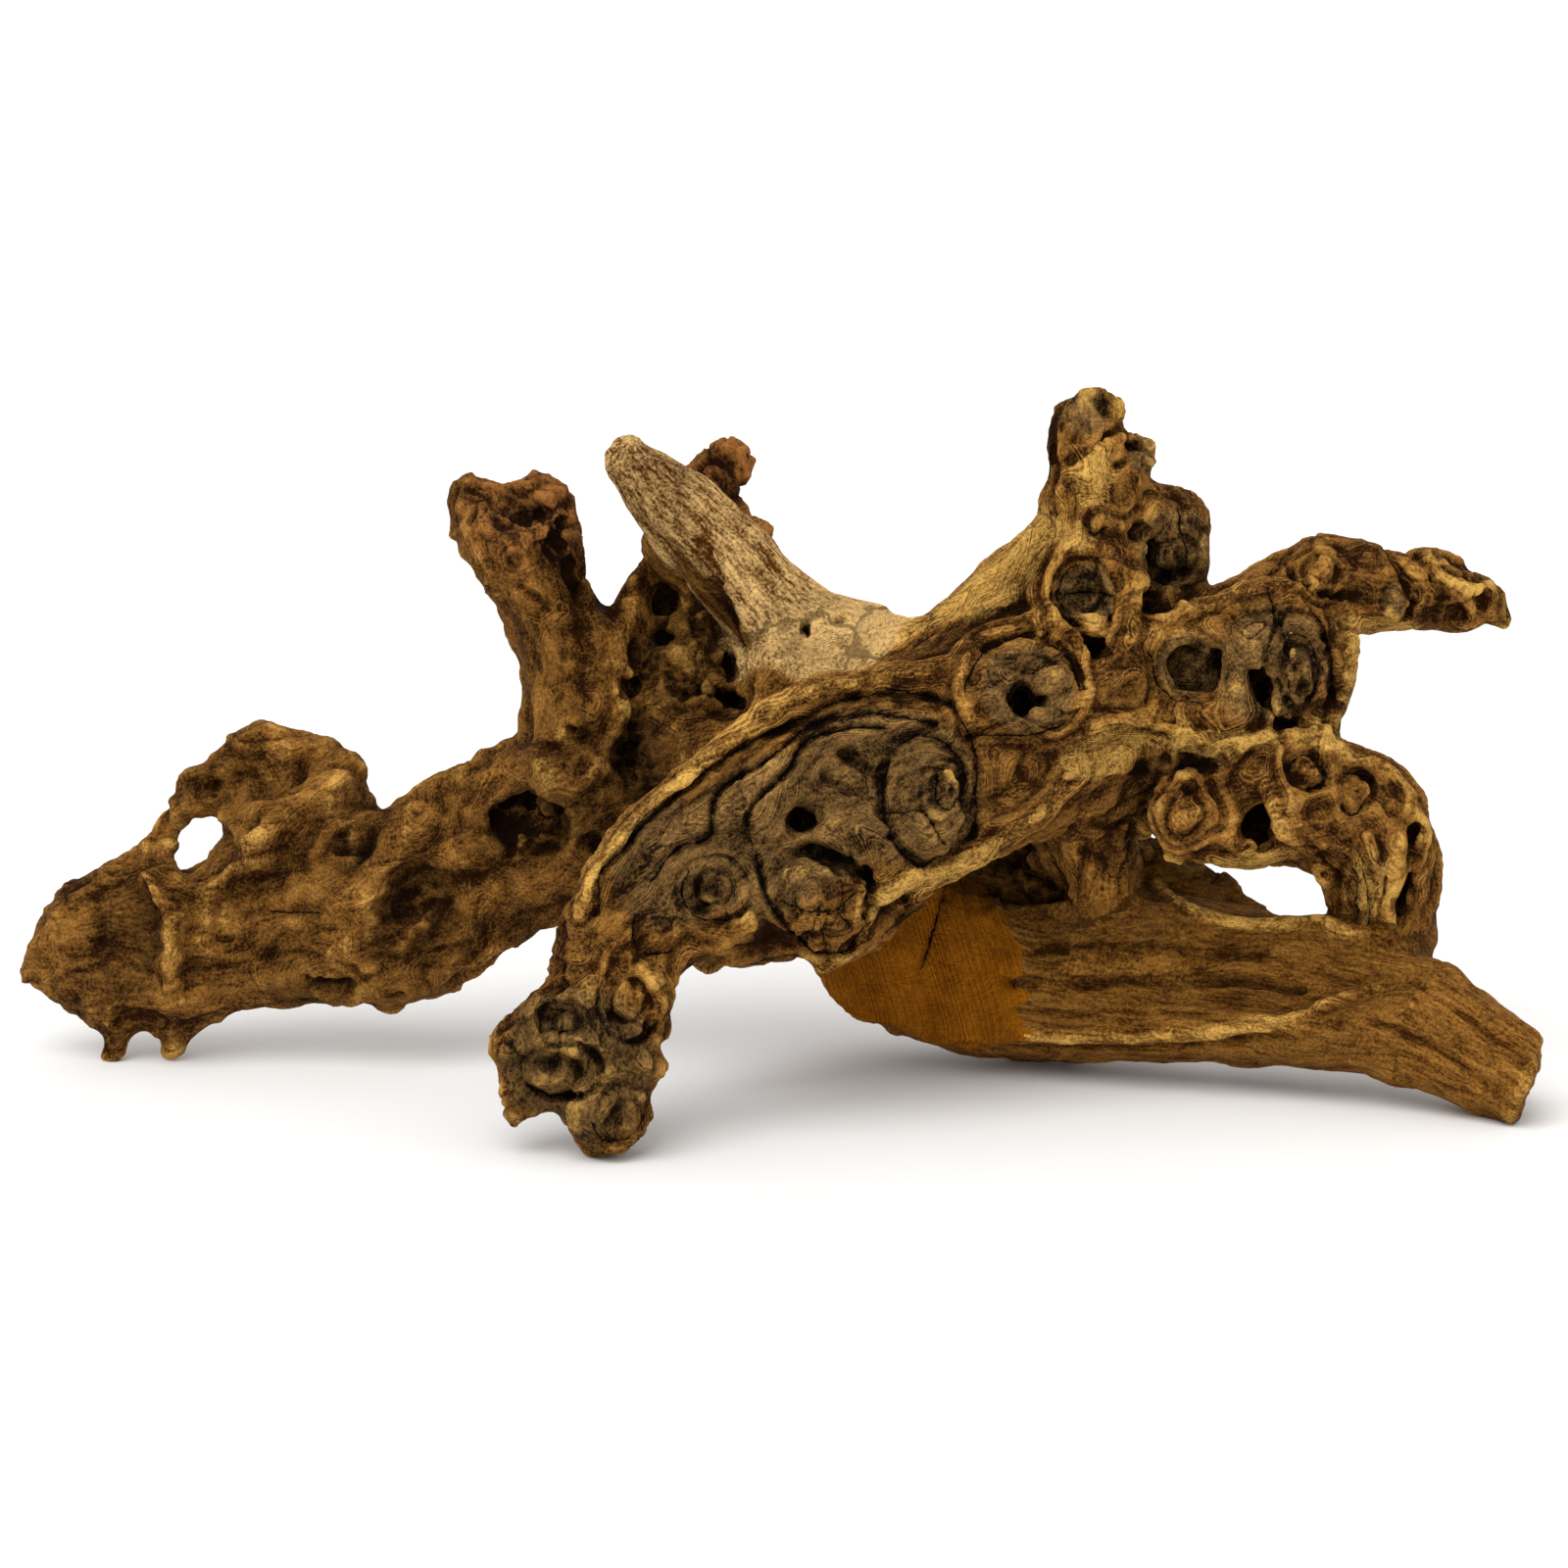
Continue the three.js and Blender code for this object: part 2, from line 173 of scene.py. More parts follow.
# %% Where a line of sight meets the wood
SIGHT_STEPS = np.arange(block.shape[2] * 2)[::-1] * CELL / 2 + BLOCK_LOW[2]
JUMP = 12.0  # millimetres of depth over which a line has slipped off the wood that carries it
PHOTO_MIDDLE = (PHOTO_SIDE / 2, PHOTO_SIDE / 2)


def surface(place, near=None):
    line = on_sight_line(place, SIGHT_STEPS)
    if near is not None:
        line = line[np.abs(line[:, 2] - near) < JUMP]
    cells = np.rint((line - BLOCK_LOW) / CELL).astype(int)
    cells = np.clip(cells, 0, np.array(block.shape) - 1)
    distances = block[tuple(cells.T)]
    first = np.argmax(distances < 0) if distances.min() < 0 else np.argmin(distances)
    return line[first]


print("the middle of the photograph lies at", surface(PHOTO_MIDDLE))

# %% [markdown]
# ## Windows and rounded joins
# Each tool works on a small window of the block, which keeps it quick. Where a tool's shape meets the
# wood the two melt together over a few millimetres, as sandblasted edges do.

# %% Windows and rounded joins
WINDOW_TRIED = np.array([5.0, 5.0, 5.0])  # millimetres


def window(low, high):
    start = np.clip(np.floor((low - BLOCK_LOW) / CELL).astype(int), 0, block.shape)
    stop = np.clip(np.ceil((high - BLOCK_LOW) / CELL).astype(int) + 1, 0, block.shape)
    cut = tuple(slice(a, b) for a, b in zip(start, stop))
    lines = [BLOCK_LOW[n] + CELL * np.arange(start[n], stop[n], dtype=np.float32) for n in range(3)]
    return cut, np.meshgrid(*lines, indexing="ij", sparse=True)


def smooth_min(a, b, blend):
    near = np.maximum(blend - np.abs(a - b), 0) / blend
    return np.minimum(a, b) - near * near * blend / 4


tried, _ = window(-WINDOW_TRIED, WINDOW_TRIED)
print("a window of 10 mm has", block[tried].shape, "cells")

# %% [markdown]
# ## Bowls and knobs
# A bowl is a ragged ellipsoid taken away, and a knob is one melted on. Places and half sizes are in
# pixels, depths, heights and edges in millimetres, and a lean is in degrees. A bowl whose middle lies
# out in front of the wood only shaves it flat.

# %% Bowls and knobs
RAGGED = 0.28  # how far the edge of a bowl or a knob wanders, as a share of its smallest half
SHAVED = 0.06  # the same for a flat
WANDER_SHARE = 0.8  # size of the wanderings, as a share of the smallest half
WANDER_LEAST = 1.5  # millimetres
EDGE_ROOM = 1.3  # a window is larger than its ellipsoid by this, because the edge wanders
BOWL_ROOM, KNOB_ROOM = 3.0, 4.0  # millimetres of window round the shape
KNOB_DEPTH = 1.3  # a knob's half depth, as a share of its height, at least

knots = []  # centres that the growth rings run round: a point and a radius


def ellipsoid(centre, halves, axes, room, ragged=RAGGED):
    reach = np.abs(axes * halves[:, None]).max(0) * EDGE_ROOM + room
    cut, grid = window(centre - reach, centre + reach)
    offsets = [g - c for g, c in zip(grid, centre)]
    parts = [sum(o * a for o, a in zip(offsets, axis)) / half for axis, half in zip(axes, halves)]
    shape = (np.sqrt(sum(p * p for p in parts)) - 1) * halves.min()
    places = np.stack(np.broadcast_arrays(*grid), axis=-1).reshape(-1, 3)
    wander = lumps(places, max(WANDER_SHARE * halves.min(), WANDER_LEAST)).reshape(shape.shape)
    return cut, shape + ragged * halves.min() * wander


def leaning(lean):
    turn = math.radians(lean)
    return np.array([
        [math.cos(turn), math.sin(turn), 0],
        [-math.sin(turn), math.cos(turn), 0],
        [0, 0, 1],
    ])


def bowl(place, half, depth, lean=0, edge=1.8, out=0.0):
    centre = surface(place)
    halves = np.array([half[0] * PIXEL, half[1] * PIXEL, depth + out])
    ragged = SHAVED if out else RAGGED
    cut, shape = ellipsoid(centre + [0, 0, out], halves, leaning(lean), BOWL_ROOM, ragged)
    block[cut] = -smooth_min(-block[cut], shape, edge)
    if not out:
        knots.append((centre, min(half) * PIXEL))


def knob(place, half, height, lean=0, edge=2.0):
    centre = surface(place)
    halves = np.array([half[0] * PIXEL, half[1] * PIXEL, max(min(half) * PIXEL, height * KNOB_DEPTH)])
    cut, shape = ellipsoid(centre + [0, 0, height - halves[2]], halves, leaning(lean), KNOB_ROOM)
    block[cut] = smooth_min(block[cut], shape, edge)
    knots.append((centre, min(half) * PIXEL))


print("edges wander by", RAGGED, "of a half size")

# %% [markdown]
# ## Lines on the wood
# Rims, grooves and cracks follow lines. Each is given by a few pixels, bent smoothly through them and
# laid on the wood. Where a point slips past an edge onto wood far behind, it goes back to the depth of
# its neighbours.

# %% Lines on the wood
LINE_STEPS = 5  # points that are put between two pixels of a line
NEIGHBOURS = 5  # points of a line on each side that tell its depth


def smooth_line(places):
    points = np.array([places[0], *places, places[-1]], float)
    shares = np.linspace(0, 1, LINE_STEPS, endpoint=False)[:, None]
    line = []
    for a, b, c, d in zip(points, points[1:], points[2:], points[3:]):
        bend = (2 * a - 5 * b + 4 * c - d) * shares**2 + (3 * b - a - 3 * c + d) * shares**3
        line.extend(b + ((c - a) * shares + bend) / 2)
    return [*line, points[-1]]


def on_wood(places):
    places = smooth_line(places)
    line = np.array([surface(p) for p in places])
    for n, place in enumerate(places):
        near = line[max(n - NEIGHBOURS, 0):n + NEIGHBOURS + 1, 2].max()
        if line[n, 2] < near - JUMP:
            line[n] = surface(place, near)
    return line


print("a line has", LINE_STEPS, "points for each pixel that is given")

# %% [markdown]
# ## Ridges and grooves
# A ridge is a tube melted on along a line of pixels, and a groove is one taken away. Golden ridges are
# the worn rims of the wood, so they are kept for the growth rings and the colour.

# %% Ridges and grooves
LINE_WANDER = 5.0  # millimetres, size of the wanderings of a tube's radius
LINE_RAGGED = 0.4 * RAGGED
RIDGE_ROOM, GROOVE_ROOM = 3.0, 2.0  # millimetres of window round the shape
RIM_SHINE = 0.3  # ridges less golden than this have no growth rings along them
TINY = 1e-6

rims = []  # lines that the growth rings run along
shines = []  # how golden each of these lines is


def tube(line, radius, flatten, room):
    cut, grid = window(line.min(0) - radius - room, line.max(0) + radius + room)
    nearest = np.float32(np.inf)
    for start, end in zip(line, line[1:]):
        along = end - start
        offsets = [g - s for g, s in zip(grid, start)]
        share = sum(o * a for o, a in zip(offsets, along)) / max(along @ along, TINY)
        share = np.clip(share, 0, 1)
        gaps = [o - share * a for o, a in zip(offsets, along)]
        gaps[2] = gaps[2] / flatten
        nearest = np.minimum(nearest, np.sqrt(sum(g * g for g in gaps)))
    places = np.stack(np.broadcast_arrays(*grid), axis=-1).reshape(-1, 3)
    wander = lumps(places, LINE_WANDER).reshape(nearest.shape)
    return cut, nearest - radius * (1 + LINE_RAGGED * wander)


def ridge(places, radius, height, edge=3.0, shine=0.35):
    line = on_wood(places)
    cut, shape = tube(line + [0, 0, height - radius], radius, 1.0, RIDGE_ROOM)
    block[cut] = smooth_min(block[cut], shape, edge)
    if shine >= RIM_SHINE:
        rims.append(line)
        shines.append(shine)


def groove(places, width, depth, edge=0.8):
    line = on_wood(places)
    cut, shape = tube(line, width / 2, 2 * depth / width, depth + GROOVE_ROOM)
    block[cut] = -smooth_min(-block[cut], shape, edge)


print("ridges that shine by", RIM_SHINE, "or more have rings along them")

# %% [markdown]
# ## Rings cut round a knot, and worn places
# Some knots show their years as real steps, so a few thin rings are cut round them. Where the wood is
# sound and straight, the block is only worn smoother.

# %% Rings and worn places
RING_REACH = 12.0  # millimetres before and behind a knot within which its rings are cut
RING_ROOM = 1.2  # a window is larger than its rings by this
RING_POWER = 6  # the higher, the thinner the rings
FIRST_RING, LAST_RING = 0.5, 0.4  # how far inside the first and outside the last ring the cut goes
WORN_DEPTH = np.array([0.0, 0.0, 25.0])  # millimetres


def ringed(place, half, rings, depth=0.7, lean=0):
    centre = surface(place)
    side = max(half) * PIXEL * RING_ROOM
    reach = np.array([side, side, RING_REACH])
    cut, grid = window(centre - reach, centre + reach)
    offsets = [g - c for g, c in zip(grid, centre)]
    axes = leaning(lean)[:2]
    parts = [sum(o * a for o, a in zip(offsets, axis)) / (h * PIXEL) for axis, h in zip(axes, half)]
    out = np.sqrt(sum(p * p for p in parts))
    line = (0.5 + 0.5 * np.cos(2 * math.pi * out * rings)) ** RING_POWER
    block[cut] += depth * line * (out > FIRST_RING / rings) * (out < 1 + LAST_RING / rings)


def worn(low_place, high_place, rounds):
    low, high = surface(low_place), surface(high_place)
    cut, _ = window(np.minimum(low, high) - WORN_DEPTH, np.maximum(low, high) + WORN_DEPTH)
    wear(block[cut], rounds)


print("rings are cut to", RING_REACH, "mm before and behind a knot")

# %% [markdown]
# ## A table of marks
# The marks of each part of the wood are kept in one table. A row has the mark's name, its tool and then
# the tool's values, in the order in which the tool takes them. The order of the rows counts too: a hole
# that is cut after a rim cuts through the rim.

# %% A table of marks
def carve(marks):
    for tool, *sizes in marks.values():
        tool(*sizes)
    print(len(marks), "marks bring the knots to", len(knots))


print("knots before the first mark:", len(knots))

# %% [markdown]
# ## The front plate
# The front limb was worn to a plate with a golden rim. Two large knots lie in it, with two eye holes
# between them. The plate is first shaved flat, then its rim is put on, and the knots and holes follow.
# Sculpting by hand could make it too. Cuts at named pixels were chosen because they land where the
# photograph has them, and come out the same each time the script runs.

# %% The front plate
PLATE = {
    "upper_flat": (bowl, (905, 790), (120, 62), 2.5, -12, 3, 10),
    "lower_flat": (bowl, (790, 850), (120, 70), 2.0, 32, 3, 10),
    "upper_rim": (ridge, [(1000, 684), (893, 694), (842, 704), (792, 726), (721, 778), (640, 846),
        (606, 898), (594, 936)], 3.0, 1.7, 2.6, 0.8),
    "lower_rim": (ridge, [(842, 978), (868, 964), (890, 932), (912, 904), (972, 886), (1006, 862),
        (1062, 828), (1096, 786)], 2.8, 1.5, 2.6, 0.8),
    "round_knot": (knob, (945, 815), (46, 62), 1.6, 10, 1.5),
    "round_knot_heart": (knob, (972, 800), (16, 26), 1.4, -10, 1.2),
    "oval_knot": (knob, (830, 920), (54, 50), 2.0, -15, 1.5),
    "oval_knot_brow": (knob, (828, 896), (26, 14), 2.2, 0, 2),
    "bead_by_eye": (knob, (850, 812), (20, 14), 2.4, 0, 2),
    "small_knot": (knob, (728, 908), (34, 34), 1.0, 0, 1.5),
    "lobe": (knob, (669, 952), (22, 20), 2.0, 0, 1.2),
    "small_knot_lip": (knob, (755, 935), (20, 14), 1.8, -20, 1.5),
    "eye": (bowl, (819, 835), (15, 14), 9, -30),
    "slit": (bowl, (842, 875), (30, 9), 6, -27),
    "pit_over_eye": (bowl, (846, 796), (10, 8), 4),
    "upper_cleft": (bowl, (870, 775), (22, 8), 2.5, -25),
    "middle_cleft": (bowl, (866, 805), (26, 8), 3, -20),
    "small_knot_cup": (bowl, (728, 907), (15, 13), 3),
    "small_knot_pit": (bowl, (715, 928), (9, 6), 3, -30),
    "round_knot_ring": (ringed, (943, 815), (44, 68), 1, 1.2, 10),
    "round_knot_heart_rings": (ringed, (962, 806), (22, 34), 2, 0.7, 0),
    "oval_knot_ring": (ringed, (832, 922), (56, 52), 1, 1.2, -15),
    "small_knot_rings": (ringed, (728, 908), (36, 34), 2, 0.8),
    "rim_groove": (groove, [(606, 930), (614, 892), (640, 862), (700, 806), (760, 762), (824, 730),
        (866, 712), (928, 706), (964, 718), (988, 742), (998, 776), (998, 812), (988, 850)], 1.7, 0.8),
    "outer_ring": (groove, [(690, 868), (722, 854), (726, 826), (742, 800), (790, 772), (822, 744),
        (860, 728), (908, 727), (950, 738)], 1.6, 0.6),
    "inner_ring": (groove, [(768, 872), (762, 836), (776, 812), (806, 786), (824, 760), (856, 743),
        (900, 740)], 1.6, 0.7),
    "oval_knot_groove": (groove, [(772, 872), (782, 916), (806, 952), (834, 972), (862, 970),
        (880, 946), (888, 912), (878, 884)], 1.6, 0.7),
}
carve(PLATE)

# %% [markdown]
# ## The foot
# The front limb ends in a foot of fused knots: a ringed cup, an eye, a grey bowl and a round heel.
# It could be modelled apart and joined on, but that would leave a seam. Carved from the same block, it
# grows out of the limb.

# %% The foot
FOOT = {
    "ankle_rib": (ridge, [(600, 1004), (606, 1030), (626, 1062), (650, 1084)], 2.4, 1.8, 3.0, 0.3),
    "cross_rib": (ridge, [(512, 1070), (540, 1062), (580, 1068), (612, 1072)], 2.4, 1.4, 3.0, 0.2),
    "heel_rib": (ridge, [(588, 1150), (594, 1118), (620, 1096), (654, 1086)], 2.4, 2.0, 3.0, 0.35),
    "cup_bead": (knob, (650, 1006), (20, 22), 1.6, 0, 1.5),
    "heel_bead": (knob, (649, 1117), (13, 12), 1.4, 0, 1),
    "side_nub": (knob, (668, 1088), (10, 7), 2.0),
    "left_nub": (knob, (520, 1112), (14, 12), 2.2),
    "cup_heart": (knob, (638, 1024), (18, 26), 1.2, -8),
    "cup_rim": (ridge, [(616, 1020), (622, 992), (646, 980), (670, 996),
        (674, 1024)], 1.8, 1.2, 3.0, 0.3),
    "eye_bead": (knob, (576, 1046), (12, 11), 2.0),
    "cup_pin_hole": (bowl, (661, 1045), (6, 6), 3),
    "eye_pit": (bowl, (560, 1040), (8, 12), 2.5),
    "brow_pit": (bowl, (566, 1008), (14, 7), 3, 10),
    "grey_knot": (knob, (566, 1098), (36, 24), 2.6, 4, 2),
    "grey_knot_pit": (bowl, (604, 1084), (9, 13), 2.5, 30),
    "cup_rings": (ringed, (642, 1021), (30, 38), 2, 0.9),
    "grey_knot_ring": (ringed, (572, 1094), (42, 28), 1, 1.0, 4),
    "heel_rings": (ringed, (640, 1140), (30, 32), 2, 0.8),
    "eye_rings": (ringed, (576, 1044), (24, 22), 2, 0.7),
    "heel_bowl": (bowl, (640, 1150), (26, 24), 1.8, 20),
}
carve(FOOT)

# %% [markdown]
# ## The burl and its sockets
# The limbs meet in a burl. Its bowl and its deep sockets are where side roots rotted out, and hard
# wood round them stayed as tube-like rims. Rims go on first, so that the sockets cut cleanly into them.
# Boolean cuts would leave sharp seams here, and melted distances don't.

# %% The burl
BURL = {
    "upper_rim": (ridge, [(1128, 690), (1160, 664), (1190, 634), (1240, 618), (1290, 606),
        (1336, 602)], 2.6, 1.6, 3.0, 0.5),
    "right_rim": (ridge, [(1374, 620), (1377, 660), (1372, 700), (1360, 732)], 2.6, 1.6, 3.0, 0.6),
    "pillar_by_hole": (ridge, [(1268, 650), (1286, 664), (1300, 690), (1306, 716),
        (1296, 732)], 2.4, 2.2, 3.0, 0.2),
    "pillar": (ridge, [(1258, 668), (1256, 700), (1262, 728)], 2.6, 1.2, 3.0, 0.2),
    "lower_rim": (ridge, [(1112, 744), (1150, 730), (1190, 732), (1222, 748)], 2.4, 1.6),
    "crescent": (knob, (1330, 690), (18, 36), 1.6, 4, 1.2),
    "crescent_edge": (knob, (1318, 672), (7, 24), 1.4, -8, 1),
    "corner_bead": (knob, (1348, 744), (12, 9), 2.2),
    "left_bowl": (bowl, (1206, 684), (37, 34), 2.5, 0, 1.2),
    "left_bowl_slit": (bowl, (1240, 676), (9, 24), 3, -6),
    "deep_hole": (bowl, (1286, 704), (13, 23), 11, 8),
    "crescent_pit": (bowl, (1332, 704), (9, 16), 4, 10),
    "lower_slit": (bowl, (1311, 741), (22, 7), 7, 10),
    "hollow_under_burl": (bowl, (1212, 776), (34, 15), 6, 12),
    "crescent_rings": (ringed, (1326, 690), (36, 66), 2, 1.1, 4),
}
carve(BURL)

# %% [markdown]
# ## The plate's upper end
# Above the plate a ringed socket, a smaller pit and a cracked knot face stand close together. A root
# like a rope runs down beside them, and behind it the lobe of the top limb has a dark cave.
# Rings could be drawn in the material alone. Here they are wide enough to catch the light, so they are
# cut.

# %% The upper end
UPPER_END = {
    "socket_left_rim": (ridge, [(984, 738), (978, 700), (992, 664), (1030, 644),
        (1064, 640)], 2.8, 0.3, 4, 0.35),
    "socket_right_rim": (ridge, [(1076, 650), (1102, 672), (1110, 702), (1100, 724),
        (1080, 744)], 2.8, 0.4, 4, 0.35),
    "small_socket_rim": (ridge, [(1112, 636), (1134, 652), (1140, 674), (1128, 690)], 2.0, 1.4),
    "face_rim": (ridge, [(1072, 640), (1068, 600), (1080, 570), (1110, 560), (1144, 566)], 2.8, 1.2, 4),
    "rope_root": (ridge, [(1158, 556), (1160, 590), (1152, 622), (1146, 646)], 3.2, 3.0),
    "rope_top": (knob, (1158, 562), (13, 12), 3.0),
    "socket_knot": (knob, (1071, 692), (22, 18), 2.8, 0, 1.5),
    "socket_bead": (knob, (1058, 731), (9, 8), 1.6),
    "socket_left_bead": (knob, (1010, 716), (12, 14), 1.2),
    "shoulder_facet": (knob, (1117, 538), (12, 8), 1.4, 0, 1),
    "face_dish": (bowl, (1104, 606), (24, 26), 2.5, 0, 1.5),
    "socket_hole": (bowl, (1042, 717), (12, 15), 14, 10),
    "small_socket": (bowl, (1117, 658), (10, 12), 9, 30),
    "hole_by_rope": (bowl, (1178, 614), (14, 10), 5, -30),
    "dish_by_rope": (bowl, (1182, 572), (16, 20), 2.2, 20, 2.5),
    "slit_over_rope": (bowl, (1158, 540), (26, 7), 2.5, -28),
    "lobe_brow": (knob, (1176, 523), (22, 14), 2.0, -15, 1.2),
    "lobe_face": (knob, (1206, 566), (22, 24), 2.0, 0, 1.5),
    "socket_rings": (ringed, (1044, 706), (58, 54), 3, 0.9),
    "face_rings": (ringed, (1106, 606), (32, 34), 2, 0.8),
    "lobe_rings": (ringed, (1206, 564), (32, 34), 2, 0.7),
}
carve(UPPER_END)

# %% [markdown]
# ## The top limb and the beak
# The top limb ends in a knob that is split off by a groove, with two small pits in its shoulder. The
# beak is two swirls of wood with a flat grey facet between them.
# Noise would put lumps anywhere, so each knob and fold is laid down by itself.

# %% The top limb and the beak
TOP_AND_BEAK = {
    "top_knob": (knob, (1112, 420), (24, 20), 1.6, 35),
    "groove_under_top": (groove, [(1092, 468), (1112, 456), (1132, 440), (1144, 430)], 2.2, 2.2),
    "top_eye": (ringed, (1099, 440), (14, 12), 1, 0.7),
    "top_dish": (bowl, (1126, 414), (14, 7), 0.9, 10),
    "shoulder_slot": (bowl, (1156, 454), (12, 6), 5, -12),
    "shoulder_pit": (bowl, (1142, 474), (7, 7), 3),
    "left_groove": (groove, [(1076, 462), (1080, 492), (1074, 520)], 2.6, 2),
    "shoulder_rib": (ridge, [(1090, 500), (1112, 520), (1146, 532)], 2.0, 1.2),
    "beak_swirl": (knob, (1352, 578), (22, 18), 1.6, 0, 1.4),
    "beak_swirl_heart": (knob, (1340, 586), (9, 7), 1.2, 0, 1),
    "beak_hump": (knob, (1392, 566), (20, 14), 1.2, 0, 1.6),
    "beak_waist": (groove, [(1410, 556), (1428, 578), (1440, 606), (1436, 634)], 2.4, 2.6),
    "beak_fold": (groove, [(1312, 572), (1330, 594), (1362, 606), (1388, 604)], 1.8, 1.4),
    "beak_facet": (knob, (1422, 611), (13, 19), 1.2, 12, 1),
    "beak_rib": (ridge, [(1456, 566), (1472, 590), (1500, 602), (1520, 600)], 1.8, 1.2),
    "beak_pit": (bowl, (1485, 628), (12, 7), 4, 20),
    "beak_slit": (bowl, (1516, 614), (14, 6), 2.5, -20),
    "beak_notch": (bowl, (1514, 656), (15, 9), 9, -12),
    "upper_nub": (knob, (1166, 456), (9, 6), 1.5, 0, 1),
    "lower_nub": (knob, (1168, 474), (10, 5), 1.5, -10, 1),
    "top_corner": (knob, (1138, 418), (10, 12), 1.5, 0, 1),
    "top_nick": (bowl, (1146, 436), (7, 4), 3),
    "beak_swirl_rings": (ringed, (1350, 578), (34, 28), 2, 0.7),
    "beak_tip_rings": (ringed, (1470, 590), (40, 30), 3, 0.7),
}
carve(TOP_AND_BEAK)

# %% [markdown]
# ## The hook
# The hook curls down behind the log. Its blunt end is a knob with a pin hole, a dark socket follows,
# and ringed knots run round its bend to a row of slits.
# A bevelled curve would give a clean pipe. Bands and knots that are melted on keep it looking grown.

# %% The hook
HOOK = {
    "outer_rim": (ridge, [(1224, 772), (1290, 757), (1350, 760), (1400, 780), (1436, 812),
        (1452, 852)], 2.6, 1.4, 3.0, 0.5),
    "middle_band": (ridge, [(1302, 776), (1300, 800), (1322, 834), (1358, 858), (1386, 884),
        (1396, 916), (1398, 950)], 3.4, 2.0, 2),
    "inner_band": (ridge, [(1290, 800), (1312, 846), (1346, 880), (1362, 916),
        (1366, 940)], 2.4, 1.2, 2),
    "end_rib": (ridge, [(1424, 862), (1420, 900), (1418, 944)], 1.8, 1.2),
    "blunt_end": (knob, (1207, 834), (32, 38), 1.6, 0, 2),
    "blunt_end_heart": (knob, (1221, 829), (15, 14), 1.4, 0, 1),
    "first_knot": (knob, (1334, 789), (19, 18), 1.4, 0, 1),
    "second_knot": (knob, (1380, 806), (18, 22), 1.4, 20, 1),
    "bend_bead": (knob, (1420, 824), (16, 14), 1.6),
    "pin_hole": (bowl, (1212, 807), (5, 5), 5),
    "socket": (bowl, (1284, 841), (21, 26), 8, -14),
    "socket_bead": (knob, (1270, 860), (11, 9), 2.5),
    "long_slit": (bowl, (1431, 915), (5, 24), 6),
    "upper_slit": (bowl, (1446, 854), (6, 14), 4, -15),
    "middle_slit": (bowl, (1441, 880), (6, 9), 2.5),
    "first_knot_rings": (ringed, (1334, 789), (22, 20), 2, 0.8),
    "second_knot_rings": (ringed, (1380, 806), (20, 26), 2, 0.8, 20),
    "blunt_end_rings": (ringed, (1209, 834), (36, 42), 2, 0.5),
    "leg_rings": (ringed, (1392, 905), (22, 60), 2, 0.7),
}
carve(HOOK)

# %% [markdown]
# ## The log
# The log was sawn across its thick end and its upper side rotted to a long trough with a bright lip.
# Its fibres run straight, so it has grooves along its length where the other limbs have knots.
# Stretched noise would do for its fine grain, but the long grooves are drawn one by one, because the eye
# follows each of them.

# %% The log
LOG = {
    "worn_side": (worn, (1000, 1100), (1400, 930), 26),
    "neck_bump": (knob, (1166, 826), (16, 26), 2),
    "cave_under_hook": (bowl, (1290, 898), (46, 24), 16, -35, 1.2),
    "upper_flat": (bowl, (1200, 972), (230, 60), 2.5, -4, 5, 14),
    "lower_lip": (ridge, [(1046, 1056), (1120, 1057), (1210, 1056), (1300, 1043), (1366, 1022),
        (1404, 1008)], 2.0, 2.2, 1.2, 1.0),
    "under_lip": (groove, [(1040, 1068), (1120, 1070), (1210, 1069), (1300, 1058),
        (1360, 1042)], 3.0, 1.0),
    "trough_lip": (ridge, [(1182, 906), (1206, 924), (1250, 938), (1300, 944), (1350, 944),
        (1384, 956)], 1.8, 1.8, 1.2, 0.9),
    "long_groove": (groove, [(1022, 1003), (1106, 1003), (1190, 998), (1262, 1000),
        (1330, 1010)], 3.4, 1.2),
    "upper_groove": (groove, [(1060, 968), (1150, 966), (1230, 972), (1290, 980)], 2.4, 0.8),
    "lower_groove": (groove, [(1040, 1034), (1130, 1034), (1230, 1034)], 2.4, 0.8),
    "end_groove": (groove, [(1420, 990), (1480, 1028), (1550, 1086)], 2.0, 0.7),
    "low_end_groove": (groove, [(1400, 1040), (1470, 1076), (1530, 1120)], 2.0, 0.7),
    "dip_under_plate": (bowl, (1046, 908), (38, 24), 3.5, -6),
    "slot_by_sawn_face": (bowl, (904, 940), (14, 26), 5, -25),
}
carve(LOG)

# %% [markdown]
# ## The arm and its fin
# The long arm at the left is rough and ribbed. Its broad end is dished, the fin above it has a hole
# right through, and two bowls lie where it joins the horn.
# Broad flats are shaved off it as well, since a limb that is only lumpy looks like dough.

